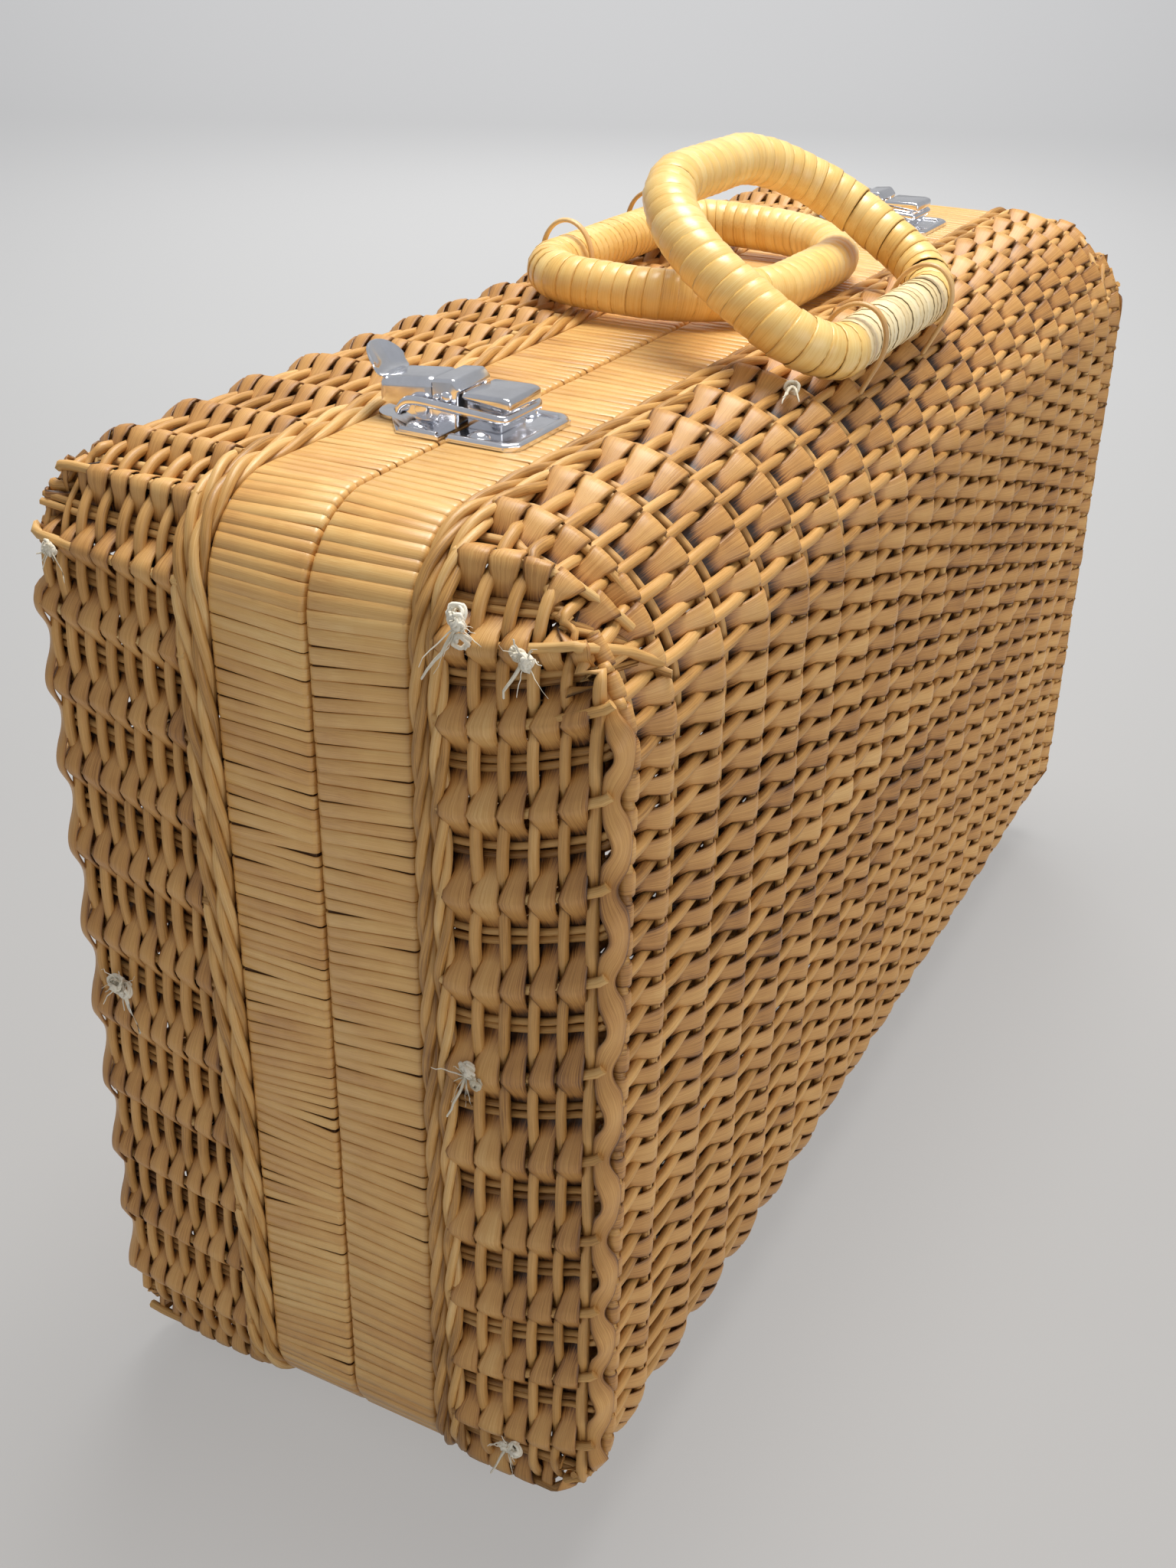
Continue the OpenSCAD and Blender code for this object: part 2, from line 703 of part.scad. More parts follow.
module rear_handle_core() color("saddlebrown") handle_core(rear);
module rear_handle_wrap() color("khaki") handle_wrap(rear);
module rear_handle_base_wrap() color("khaki") handle_base_wrap(rear);
module rear_handle_near_loop() color("wheat") at_loop(rear, near) loop_solid(0);
module rear_handle_far_loop() color("wheat") at_loop(rear, far) loop_solid(0);
module front_handle_core() color("saddlebrown") handle_core(front);
module front_handle_wrap() color("khaki") handle_wrap(front);
module front_handle_base_wrap() color("lemonchiffon") handle_base_wrap(front);
module front_handle_near_loop() color("wheat") at_loop(front, near) loop_solid(0);
module front_handle_far_loop() color("wheat") at_loop(front, far) loop_solid(0);

rear_basket();
rear_rim_hoop();
rear_rim_wrap();
rear_border();
rear_thread_ties();
front_basket();
front_rim_hoop();
front_rim_wrap();
front_border();
front_thread_ties();
near_latch_plate();
near_latch_plate_rivets();
near_latch_pin();
near_latch_lever();
near_latch_bail();
near_latch_keeper();
near_latch_keeper_rivets();
far_latch_plate();
far_latch_plate_rivets();
far_latch_pin();
far_latch_lever();
far_latch_bail();
far_latch_keeper();
far_latch_keeper_rivets();
near_hinge_rear_leaf();
near_hinge_front_leaf();
near_hinge_pin();
far_hinge_rear_leaf();
far_hinge_front_leaf();
far_hinge_pin();
hinge_rear_rivets();
hinge_front_rivets();
rear_handle_core();
rear_handle_wrap();
rear_handle_base_wrap();
rear_handle_near_loop();
rear_handle_far_loop();
front_handle_core();
front_handle_wrap();
front_handle_base_wrap();
front_handle_near_loop();
front_handle_far_loop();
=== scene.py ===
"""Wicker suitcase: woven reeds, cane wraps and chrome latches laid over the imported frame."""

import math

import bmesh
import bpy
import numpy as np
from mathutils import Matrix, Vector


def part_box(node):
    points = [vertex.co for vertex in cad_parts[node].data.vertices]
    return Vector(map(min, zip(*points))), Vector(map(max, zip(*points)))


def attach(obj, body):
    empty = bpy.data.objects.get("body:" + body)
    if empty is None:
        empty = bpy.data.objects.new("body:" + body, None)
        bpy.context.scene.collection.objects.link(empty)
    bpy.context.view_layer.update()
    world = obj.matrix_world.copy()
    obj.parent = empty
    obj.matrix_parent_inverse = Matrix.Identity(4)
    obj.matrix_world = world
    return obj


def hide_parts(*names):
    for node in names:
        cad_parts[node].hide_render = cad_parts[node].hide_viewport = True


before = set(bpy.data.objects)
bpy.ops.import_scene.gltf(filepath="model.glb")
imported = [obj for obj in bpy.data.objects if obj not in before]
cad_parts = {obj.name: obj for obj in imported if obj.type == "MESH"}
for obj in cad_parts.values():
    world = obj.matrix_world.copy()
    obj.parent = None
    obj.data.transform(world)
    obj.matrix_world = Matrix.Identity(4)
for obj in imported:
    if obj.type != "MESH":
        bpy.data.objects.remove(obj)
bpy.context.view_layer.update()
scene = bpy.context.scene
rng = np.random.default_rng(11)

MM = 0.001

# Case, in millimetres
HALF_LEN, HEIGHT, HALF_DEPTH = 228.0, 285.0, 80.0
CORNER, END_ROUND = 28.0, 5.0
SPINE_X, SPINE_LOW, SPINE_TOP = HALF_LEN - CORNER, CORNER, HEIGHT - CORNER
FACE_ROUND = {"front": 46.0, "rear": 14.0}
SIDE = {"front": -1.0, "rear": 1.0}
SHOULDER = 36.55
BAND_INSET, BAND_IN, BAND_W, SEAM = 2.5, 7.7, 27.0, 0.25
BORDER_ROWS, BORDER_DEPTH = (29.65, 34.1), 3.15

# Weave, in millimetres: rows of the walls, stakes and the depth of each layer under the crests
WALL_ROWS = {"front": 5, "rear": 7}
WALL_PITCH = {"front": 8.0, "rear": 6.2}
END_PITCH = {"front": 7.5, "rear": 5.9}
FACE_PITCH = 8.0
FACE_STAKES, STAKE_EDGE, STAKE_SHIFT = 17, 202.0, 4.2
END_STAKES, END_LOW, END_HIGH, END_SHIFT = 10, 32.0, 242.0, 3.4
CORNER_STAKES_TOP, CORNER_STAKE_LOW = (38.0, 82.0), 51.0
STAKE_R, CREST_STAKE, TROUGH_STAKE = 1.25, -2.0, -6.1
REED_R, REED_CREST, REED_TROUGH = 1.55, -4.4, -3.7
FLAT_W, FLAT_T, FLAT_CREST, FLAT_TROUGH = 2.95, 0.42, -0.45, -7.6
REED_PLACE, FLAT_PLACE = 0.77, 0.27
RIDGE_IN, RIDGE_CORE = 8.2, 3.0
PALE_ROW, PALE_FROM, PALE_TO = 163.0, -150.0, 22.0
STAKE_RISE = {"front": 12.0, "rear": 5.0}


# Outline and woven surface

TURN = CORNER * math.pi / 2
RUNS = [SPINE_X, TURN, SPINE_TOP - SPINE_LOW, TURN, 2 * SPINE_X, TURN, SPINE_TOP - SPINE_LOW, TURN, SPINE_X]
KNOTS = np.concatenate([[0.0], np.cumsum(RUNS)])
LOOP = KNOTS[-1]
NEAR_END, FAR_END = KNOTS[2], KNOTS[7]


def rim(s):
    """Point on the spine and outward direction at a distance round the outline from the top's middle."""
    s = np.mod(s, LOOP)
    x = np.interp(s, KNOTS, SPINE_X * np.array([0, -1, -1, -1, -1, 1, 1, 1, 1, 0.0]))
    z = np.interp(s, KNOTS, np.array([SPINE_TOP] * 3 + [SPINE_LOW] * 4 + [SPINE_TOP] * 3))
    a = np.radians(np.interp(s, KNOTS, [0, 0, 90, 90, 180, 180, 270, 270, 360, 360]))
    return x, z, -np.sin(a), np.cos(a)


def band_point(s, y, depth):
    x, z, nx, nz = rim(s)
    r = CORNER - depth
    return np.stack([x + nx * r, np.broadcast_to(y, np.shape(x)), z + nz * r], -1)


def section(half, t):
    """Depth and height of the wall's section at a distance from the shoulder over the top."""
    R = FACE_ROUND[half]
    flat = HALF_DEPTH - R - SHOULDER
    start = R * math.asin(-flat / R) if flat < 0 else 0.0
    flat = max(flat, 0.0)
    quarter = R * math.pi / 2 - start
    down = HEIGHT - 2 * R
    total = 2 * (flat + quarter) + down
    low = t > total / 2
    t = np.where(low, total - t, t)
    a = np.clip((t - flat + start) / R, 0, math.pi / 2)
    over = t < flat
    y = np.where(over, SHOULDER + t, HALF_DEPTH - R + R * np.sin(a))
    z = np.where(over, HEIGHT, HEIGHT - R + R * np.cos(a) - np.maximum(t - flat - quarter, 0))
    ny, nz = np.where(over, 0, np.sin(a)), np.where(over, 1, np.cos(a))
    return y, np.where(low, HEIGHT - z, z), ny, np.where(low, -nz, nz), total


def wall_depth(half):
    return WALL_ROWS[half] * WALL_PITCH[half]


def wall_place(half, s, w):
    """Point of a woven wall: s round the outline, w from the shoulder towards the face."""
    x, z, nx, nz = rim(s)
    R = FACE_ROUND[half]
    y_top = section(half, np.asarray(w, float))[0]
    y_end = SHOULDER + w * END_PITCH[half] / WALL_PITCH[half]
    y = y_top + (y_end - y_top) * nx ** 2
    over = np.maximum(y - (HALF_DEPTH - R), 0)
    lift = HEIGHT - R + np.sqrt(np.maximum(R ** 2 - over ** 2, 0)) - SPINE_TOP
    lift = np.maximum(lift, 0.5) / np.maximum(np.abs(nz), 1e-3)
    soft = 12.0 * (1 - np.minimum(lift * np.abs(nz) / CORNER, 1)) + 1e-6
    r = np.minimum(CORNER, lift) - np.maximum(soft - np.abs(CORNER - lift), 0) ** 2 / (4 * soft)
    out = np.maximum(y - (HALF_DEPTH - END_ROUND), 0)
    edge = HALF_LEN - END_ROUND + np.sqrt(np.maximum(END_ROUND ** 2 - out ** 2, 0)) - SPINE_X
    r = np.minimum(r, edge / np.maximum(np.abs(nx), 1e-3))
    return np.stack([x + nx * r, SIDE[half] * y, z + nz * r], -1)


def wall_point(half, s, w):
    s, w = np.broadcast_arrays(np.asarray(s, float), np.asarray(w, float))
    e = 0.6
    ds = wall_place(half, s + e, w) - wall_place(half, s - e, w)
    dw = wall_place(half, s, w + e) - wall_place(half, s, w - e)
    n = np.cross(ds, dw)
    n /= np.linalg.norm(n, axis=-1, keepdims=True)
    _, _, nx, nz = rim(s)
    flip = np.sign(n[..., 0] * nx + n[..., 2] * nz)
    return wall_place(half, s, w), n * flip[..., None]


# Strands


class Strand:
    """A centre line with the direction of its flat side, its girth at each point and its tone.

    Deep, from 0 to 1, is how far a point lies in the shade of the weave. Lean shifts the strand along
    itself for each millimetre aside, so that a flat strand can bend over a stake that crosses it slantwise.
    """

    def __init__(self, points, up, girth=1.0, tone=None, closed=False, deep=0.0, lean=0.0, aside=0.0):
        self.points = np.asarray(points, float)
        self.deep = np.broadcast_to(np.asarray(deep, float), len(self.points))
        self.lean = np.broadcast_to(np.asarray(lean, float), self.points.shape)
        self.aside = np.broadcast_to(np.asarray(aside, float), self.points.shape)
        self.up = np.broadcast_to(np.asarray(up, float), self.points.shape)
        self.girth = np.broadcast_to(np.asarray(girth, float), len(self.points))
        self.tone = rng.random() if tone is None else tone
        self.closed = closed


def sweep_tree():
    """Geometry nodes that turn centre lines into solid strands."""
    tree = bpy.data.node_groups.new("Sweep strands", "GeometryNodeTree")
    face = tree.interface
    face.new_socket("Centre lines", in_out="INPUT", socket_type="NodeSocketGeometry")
    for name, kind, value in (("Half width", "NodeSocketFloat", 0.002), ("Half thickness", "NodeSocketFloat", 0.001),
                              ("Squareness", "NodeSocketFloat", 1.0), ("Sides", "NodeSocketInt", 8),
                              ("Finish", "NodeSocketMaterial", None)):
        socket = face.new_socket(name, in_out="INPUT", socket_type=kind)
        if value is not None:
            socket.default_value = value
    face.new_socket("Strands", in_out="OUTPUT", socket_type="NodeSocketGeometry")
    n, link = tree.nodes, tree.links.new
    given, made = n.new("NodeGroupInput"), n.new("NodeGroupOutput")
    lines = n.new("GeometryNodeMeshToCurve")
    turn = n.new("GeometryNodeSetCurveNormal")
    turn.mode = "FREE"
    up, girth = n.new("GeometryNodeInputNamedAttribute"), n.new("GeometryNodeInputNamedAttribute")
    up.data_type, girth.data_type = "FLOAT_VECTOR", "FLOAT"
    up.inputs["Name"].default_value, girth.inputs["Name"].default_value = "up", "girth"
    ring = n.new("GeometryNodeCurvePrimitiveCircle")
    ring.inputs["Radius"].default_value = 1.0
    place = n.new("GeometryNodeInputPosition")
    keep = n.new("GeometryNodeStoreNamedAttribute")
    keep.data_type, keep.domain = "FLOAT_VECTOR", "POINT"
    keep.inputs["Name"].default_value = "rim"
    split, joined, press = n.new("ShaderNodeSeparateXYZ"), n.new("ShaderNodeCombineXYZ"), n.new("GeometryNodeSetPosition")
    link(place.outputs["Position"], split.inputs[0])
    for axis in (0, 1):
        steps = [n.new("ShaderNodeMath") for _ in range(4)]
        for step, operation in zip(steps, ("ABSOLUTE", "POWER", "SIGN", "MULTIPLY")):
            step.operation = operation
        link(split.outputs[axis], steps[0].inputs[0])
        link(steps[0].outputs[0], steps[1].inputs[0])
        link(given.outputs["Squareness"], steps[1].inputs[1])
        link(split.outputs[axis], steps[2].inputs[0])
        link(steps[1].outputs[0], steps[3].inputs[0])
        link(steps[2].outputs[0], steps[3].inputs[1])
        link(steps[3].outputs[0], joined.inputs[axis])
    size, shape = n.new("ShaderNodeCombineXYZ"), n.new("GeometryNodeTransform")
    size.inputs["Z"].default_value = 1.0
    sweep, smooth = n.new("GeometryNodeCurveToMesh"), n.new("GeometryNodeSetShadeSmooth")
    sweep.inputs["Fill Caps"].default_value = True
    real, finish = n.new("GeometryNodeRealizeInstances"), n.new("GeometryNodeSetMaterial")
    link(given.outputs["Centre lines"], lines.inputs["Mesh"])
    link(lines.outputs["Curve"], turn.inputs["Curve"])
    link(up.outputs["Attribute"], turn.inputs["Normal"])
    link(given.outputs["Sides"], ring.inputs["Resolution"])
    link(ring.outputs["Curve"], keep.inputs["Geometry"])
    link(place.outputs["Position"], keep.inputs["Value"])
    link(keep.outputs["Geometry"], press.inputs["Geometry"])
    link(joined.outputs[0], press.inputs["Position"])
    link(press.outputs["Geometry"], shape.inputs["Geometry"])
    link(given.outputs["Half thickness"], size.inputs["X"])
    link(given.outputs["Half width"], size.inputs["Y"])
    link(size.outputs["Vector"], shape.inputs["Scale"])
    link(turn.outputs["Curve"], sweep.inputs["Curve"])
    link(shape.outputs["Geometry"], sweep.inputs["Profile Curve"])
    link(girth.outputs["Attribute"], sweep.inputs["Scale"])
    named = {}
    for label in ("centre", "aside", "lean"):
        named[label] = n.new("GeometryNodeInputNamedAttribute")
        named[label].data_type = "FLOAT_VECTOR"
        named[label].inputs["Name"].default_value = label
    apart, reach, shift = (n.new("ShaderNodeVectorMath") for _ in range(3))
    apart.operation, reach.operation, shift.operation = "SUBTRACT", "DOT_PRODUCT", "SCALE"
    slant = n.new("GeometryNodeSetPosition")
    link(place.outputs["Position"], apart.inputs[0])
    link(named["centre"].outputs["Attribute"], apart.inputs[1])
    link(apart.outputs["Vector"], reach.inputs[0])
    link(named["aside"].outputs["Attribute"], reach.inputs[1])
    link(named["lean"].outputs["Attribute"], shift.inputs[0])
    link(reach.outputs["Value"], shift.inputs["Scale"])
    link(sweep.outputs["Mesh"], slant.inputs["Geometry"])
    link(shift.outputs["Vector"], slant.inputs["Offset"])
    link(slant.outputs["Geometry"], smooth.inputs["Geometry"])
    link(smooth.outputs["Geometry"], real.inputs["Geometry"])
    link(real.outputs["Geometry"], finish.inputs["Geometry"])
    link(given.outputs["Finish"], finish.inputs["Material"])
    link(finish.outputs["Geometry"], made.inputs["Strands"])
    return tree


def settle(name, holder):
    """Turns a modified object into a plain mesh object and drops the old one."""
    bpy.context.view_layer.update()
    mesh = bpy.data.meshes.new_from_object(holder.evaluated_get(bpy.context.evaluated_depsgraph_get()))
    mesh.name = name
    old = holder.data
    bpy.data.objects.remove(holder)
    bpy.data.meshes.remove(old)
    piece = bpy.data.objects.new(name, mesh)
    scene.collection.objects.link(piece)
    return piece


def strands(name, runs, half_width, half_thick, finish, body, stands_for=(), sides=8, square=1.0):
    """Makes one piece of many strands, sizes in millimetres, riding on a body."""
    counts = [len(r.points) for r in runs]
    starts = np.concatenate([[0], np.cumsum(counts)])
    points = np.concatenate([r.points for r in runs])
    edges = []
    for r, a, b in zip(runs, starts[:-1], starts[1:]):
        line = np.stack([np.arange(a, b - 1), np.arange(a + 1, b)], 1)
        edges.append(np.vstack([line, [[b - 1, a]]]) if r.closed else line)
    mesh = bpy.data.meshes.new(name + "_lines")
    mesh.from_pydata((points * MM).tolist(), np.concatenate(edges).tolist(), [])
    along = np.concatenate([np.concatenate([[0], np.cumsum(np.linalg.norm(np.diff(r.points, axis=0), axis=1))])
                            for r in runs]) * MM
    tone = np.repeat([r.tone for r in runs], counts)
    for label, kind, value in (("up", "FLOAT_VECTOR", np.concatenate([r.up for r in runs]).ravel()),
                               ("girth", "FLOAT", np.concatenate([r.girth for r in runs])),
                               ("deep", "FLOAT", np.concatenate([r.deep for r in runs])),
                               ("lean", "FLOAT_VECTOR", np.concatenate([r.lean for r in runs]).ravel()),
                               ("aside", "FLOAT_VECTOR", np.concatenate([r.aside for r in runs]).ravel()),
                               ("centre", "FLOAT_VECTOR", (points * MM).ravel()),
                               ("along", "FLOAT", along), ("tone", "FLOAT", tone)):
        layer = mesh.attributes.new(label, kind, "POINT")
        layer.data.foreach_set("vector" if kind == "FLOAT_VECTOR" else "value", np.ascontiguousarray(value, np.float32))
    holder = bpy.data.objects.new(name + "_lines", mesh)
    scene.collection.objects.link(holder)
    sweep = holder.modifiers.new("Sweep", "NODES")
    sweep.node_group = SWEEP
    named = {i.name: i.identifier for i in SWEEP.interface.items_tree if i.in_out == "INPUT"}
    sweep[named["Half width"]] = half_width * MM
    sweep[named["Half thickness"]] = half_thick * MM
    sweep[named["Squareness"]] = square
    sweep[named["Sides"]] = sides
    sweep[named["Finish"]] = finish
    piece = settle(name, holder)
    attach(piece, body)
    if stands_for:
        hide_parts(*stands_for)
    return piece


def drift(count, amount, spacing=9):
    """Slow wandering by up to about an amount, for rows that are never quite straight."""
    knots = rng.normal(0, amount, count // spacing + 3)
    at = np.linspace(0, len(knots) - 1.001, count)
    i = at.astype(int)
    f = at - i
    f = f * f * (3 - 2 * f)
    return knots[i] * (1 - f) + knots[i + 1] * f


# Finishes


def paint(r, g, b):
    """Linear colour of an sRGB one in 0 to 255."""
    return tuple(c / 3294.6 if c <= 10.3 else ((c / 255 + 0.055) / 1.055) ** 2.4 for c in (r, g, b)) + (1.0,)


class Finish:
    """A material with helpers for its nodes."""

    def __init__(self, name):
        self.mat = bpy.data.materials.new(name)
        self.mat.use_nodes = True
        self.nodes, self.link = self.mat.node_tree.nodes, self.mat.node_tree.links.new
        self.shader = self.nodes["Principled BSDF"]

    def add(self, kind, **values):
        node = self.nodes.new(kind)
        for key, value in values.items():
            if hasattr(node, key):
                setattr(node, key, value)
            else:
                node.inputs[key.replace("_", " ").capitalize()].default_value = value
        return node

    def attribute(self, name):
        return self.add("ShaderNodeAttribute", attribute_name=name)

    def math(self, op, a, b=0.0):
        node = self.add("ShaderNodeMath", operation=op)
        for socket, value in zip(node.inputs, (a, b)):
            if isinstance(value, (int, float)):
                socket.default_value = value
            else:
                self.link(value, socket)
        return node.outputs[0]

    def noise(self, vector, scale, detail=3.0, roughness=0.55):
        node = self.add("ShaderNodeTexNoise")
        node.inputs["Scale"].default_value = scale
        node.inputs["Detail"].default_value = detail
        node.inputs["Roughness"].default_value = roughness
        self.link(vector, node.inputs["Vector"])
        return node.outputs["Fac"]

    def ramp(self, value, stops):
        node = self.add("ShaderNodeValToRGB")
        band = node.color_ramp
        while len(band.elements) < len(stops):
            band.elements.new(0.5)
        for element, (at, colour) in zip(band.elements, stops):
            element.position, element.color = at, colour
        self.link(value, node.inputs["Fac"])
        return node.outputs["Color"]

    def bump(self, height, strength, distance):
        node = self.add("ShaderNodeBump")
        node.inputs["Strength"].default_value = strength
        node.inputs["Distance"].default_value = distance
        self.link(height, node.inputs["Height"])
        self.link(node.outputs["Normal"], self.shader.inputs["Normal"])


def fibre(name, stops, roughness=0.5, coat=0.0, streak=60.0, across=2.2, tone_share=0.45, bump=0.25, edge=0.0):
    """Dry plant fibre: a tone for each strand, streaks along it, blotches and faint ridges, with painted shade where a
    strand lies deep in the weave and, where asked, along its edges.
    """
    f = Finish(name)
    rim_at, along, tone = f.attribute("rim"), f.attribute("along"), f.attribute("tone")
    grain = f.add("ShaderNodeCombineXYZ")
    split = f.add("ShaderNodeSeparateXYZ")
    f.link(rim_at.outputs["Vector"], split.inputs[0])
    f.link(f.math("MULTIPLY", split.outputs[0], across), grain.inputs[0])
    f.link(f.math("MULTIPLY", split.outputs[1], across * 1.6), grain.inputs[1])
    shifted = f.math("ADD", f.math("MULTIPLY", along.outputs["Fac"], streak), f.math("MULTIPLY", tone.outputs["Fac"], 97.0))
    f.link(shifted, grain.inputs[2])
    streaks = f.noise(grain.outputs[0], 1.6, 4.0, 0.6)
    coords = f.add("ShaderNodeTexCoord")
    blotch = f.noise(coords.outputs["Object"], 55.0, 3.0)
    wide = f.noise(coords.outputs["Object"], 9.0, 2.0)
    mixed = f.math("ADD", f.math("MULTIPLY", tone.outputs["Fac"], tone_share), f.math("MULTIPLY", streaks, 0.75))
    mixed = f.math("ADD", mixed, f.math("MULTIPLY", f.math("SUBTRACT", blotch, 0.5), 0.5))
    mixed = f.math("ADD", mixed, f.math("MULTIPLY", f.math("SUBTRACT", wide, 0.5), 0.35))
    mixed = f.math("SUBTRACT", mixed, (tone_share - 0.25) / 2)
    # Painted shade: the colour darkens where the strand lies deep in the weave (the deep attribute); below zero it is
    # painted light.
    mixed = f.math("SUBTRACT", mixed, f.math("MULTIPLY", f.attribute("deep").outputs["Fac"], 0.5))
    # Painted shade along the strand's edges, where it meets its neighbours.
    if edge:
        side = f.math("POWER", f.math("ABSOLUTE", split.outputs[1]), 3.0)
        mixed = f.math("SUBTRACT", mixed, f.math("MULTIPLY", side, edge))
    f.link(f.ramp(mixed, stops), f.shader.inputs["Base Color"])
    f.bump(streaks, bump, 0.0004)
    f.link(f.math("ADD", f.math("MULTIPLY", streaks, 0.25), roughness - 0.12), f.shader.inputs["Roughness"])
    f.shader.inputs["Coat Weight"].default_value = coat
    f.shader.inputs["Coat Roughness"].default_value = 0.25
    return f.mat


def metal(name, colour, roughness, scratches):
    f = Finish(name)
    coords = f.add("ShaderNodeTexCoord")
    fine = f.noise(coords.outputs["Object"], 900.0, 2.0)
    cloud = f.noise(coords.outputs["Object"], 70.0, 4.0, 0.65)
    f.link(f.ramp(cloud, [(0.25, tuple(c * 0.82 for c in colour[:3]) + (1,)), (0.6, colour)]), f.shader.inputs["Base Color"])
    f.shader.inputs["Metallic"].default_value = 1.0
    f.link(f.math("ADD", f.math("MULTIPLY", cloud, scratches), roughness), f.shader.inputs["Roughness"])
    f.bump(fine, 0.05, 0.0001)
    return f.mat


REED = fibre("Round reed", [(0.02, paint(70, 42, 18)), (0.2, paint(140, 94, 42)), (0.42, paint(190, 140, 74)),
                            (0.64, paint(210, 160, 92)), (0.92, paint(232, 190, 124))], 0.48, 0.1, tone_share=0.25)
FLAT = fibre("Flat weaver", [(0.02, paint(52, 31, 15)), (0.18, paint(134, 88, 42)), (0.36, paint(184, 131, 68)),
                             (0.6, paint(211, 160, 92)), (0.92, paint(234, 194, 128))],
             0.46, 0.1, 40.0, 5.0, tone_share=0.22, edge=0.3)
STAKE = fibre("Stake", [(0.02, paint(80, 50, 22)), (0.16, paint(134, 92, 42)), (0.5, paint(200, 152, 86)), (0.9, paint(230, 192, 128))], 0.55)
BORDER = fibre("Twined reed", [(0.12, paint(124, 82, 36)), (0.42, paint(196, 146, 78)), (0.66, paint(218, 172, 104)),
                               (0.92, paint(240, 206, 146))], 0.42, 0.12)
CANE = fibre("Rim cane", [(0.08, paint(158, 104, 50)), (0.36, paint(210, 156, 86)), (0.6, paint(227, 179, 106)),
                          (0.92, paint(243, 208, 142))], 0.36, 0.35, 30.0, 6.0, 0.2, 0.18, edge=0.1)
GRIP = fibre("Handle cane", [(0.08, paint(190, 134, 62)), (0.34, paint(236, 190, 104)), (0.62, paint(247, 212, 136)),
                             (0.92, paint(252, 234, 180))], 0.34, 0.35, 40.0, 4.0, 0.2, 0.2, edge=0.12)
BASE_CANE = fibre("Base bar cane", [(0.1, paint(212, 176, 116)), (0.4, paint(240, 218, 168)), (0.9, paint(252, 240, 208))],
                  0.36, 0.3, 40.0, 4.0, 0.2, 0.2, edge=0.1)
PEEL = fibre("Peel strand", [(0.1, paint(156, 112, 60)), (0.45, paint(216, 170, 106)), (0.9, paint(242, 212, 156))], 0.4, 0.2)
COTTON = fibre("Cotton thread", [(0.1, paint(190, 178, 150)), (0.5, paint(224, 215, 194)), (0.9, paint(244, 238, 222))],
               0.8, 0.0, 900.0, 1.5)
CHROME = metal("Bright chrome", (0.86, 0.87, 0.91, 1), 0.11, 0.1)
STEEL = metal("Plain steel", (0.6, 0.59, 0.57, 1), 0.28, 0.25)
WOOD = fibre("Bent hoop wood", [(0.1, paint(70, 44, 22)), (0.5, paint(110, 74, 40)), (0.9, paint(140, 98, 56))], 0.7)

SWEEP = sweep_tree()


# Weave


def face_crest_places():
    """Places of the crest stakes across a face."""
    u = np.linspace(-1, 1, FACE_STAKES)
    return STAKE_EDGE * u + STAKE_SHIFT * (1 - u * u)


def end_crest_heights():
    """Heights of the crest stakes on an end wall, from the lowest."""
    u = np.linspace(0, 1, END_STAKES)
    return END_LOW + (END_HIGH - END_LOW) * u - END_SHIFT * np.sin(2 * math.pi * u)


def crest_stops():
    """Distances of the crest stakes round the whole outline, from the top's middle."""
    top = np.clip(-FACE_CRESTS, -SPINE_X, SPINE_X)
    corner = SPINE_X + CORNER * np.radians(CORNER_STAKES_TOP)
    down = NEAR_END + SPINE_TOP - end_crest_heights()
    low = [KNOTS[3] + CORNER * math.radians(90 - CORNER_STAKE_LOW)]
    near = np.concatenate([corner, down, low])
    bottom = (KNOTS[4] + KNOTS[5]) / 2 + FACE_CRESTS
    return np.sort(np.concatenate([np.mod(top, LOOP), near, bottom, LOOP - near]))


FACE_CRESTS = face_crest_places()
CREST_S = crest_stops()


def stake_rise(half, s, w):
    """How far a stake on an end wall climbs on its way from the border to the ridge."""
    s = np.mod(s, LOOP)
    down = np.minimum(s, LOOP - s)
    share = np.interp(down, [KNOTS[1] + 10, NEAR_END + 10, KNOTS[3] - 25, KNOTS[4] - 6], [0, 1, 1, 0])
    climb = np.clip(w / wall_depth(half), 0, 1.1) ** 1.585
    return STAKE_RISE[half] * share * climb * np.where(s < LOOP / 2, 1, -1)


def wall_phase(half, s, w):
    """Phase of the weave round the walls: whole turns at crest stakes."""
    stops = np.concatenate([[CREST_S[-1] - LOOP], CREST_S, [CREST_S[0] + LOOP]])
    at = np.clip(np.mod(s, LOOP) + stake_rise(half, s, w), 0, LOOP)
    return 2 * math.pi * np.interp(at, stops, np.arange(len(stops)) - 1)


def layer(crest, trough, c):
    return (crest + trough) / 2 + (crest - trough) / 2 * c


def flat_girth(c, scale):
    """Flat weavers are narrowest between the stakes and spread where they bend over or under one."""
    return (0.8 + 0.42 * np.maximum(c, 0) ** 1.1 + 0.55 * np.maximum(-c, 0) ** 0.5) * scale


def shade(c, start=-0.1, share=1.0):
    """How far a strand lies in the shade of the weave, from the part of its wave, for painted shade in its colour."""
    return share * np.clip((start - c) / 0.8, 0, 1)


def weave_offsets(kind, c, count):
    if kind == "flat":
        c = 0.6 * c + 0.4 * (1 - 2 * np.arccos(np.clip(c, -1, 1)) / math.pi)
        return layer(FLAT_CREST, FLAT_TROUGH, c) + drift(count, 0.12), flat_girth(c, 1.0 + rng.normal(0, 0.06))
    return layer(REED_CREST, REED_TROUGH, c) + drift(count, 0.1), np.full(count, 1.0 + rng.normal(0, 0.07)) + drift(count, 0.03)


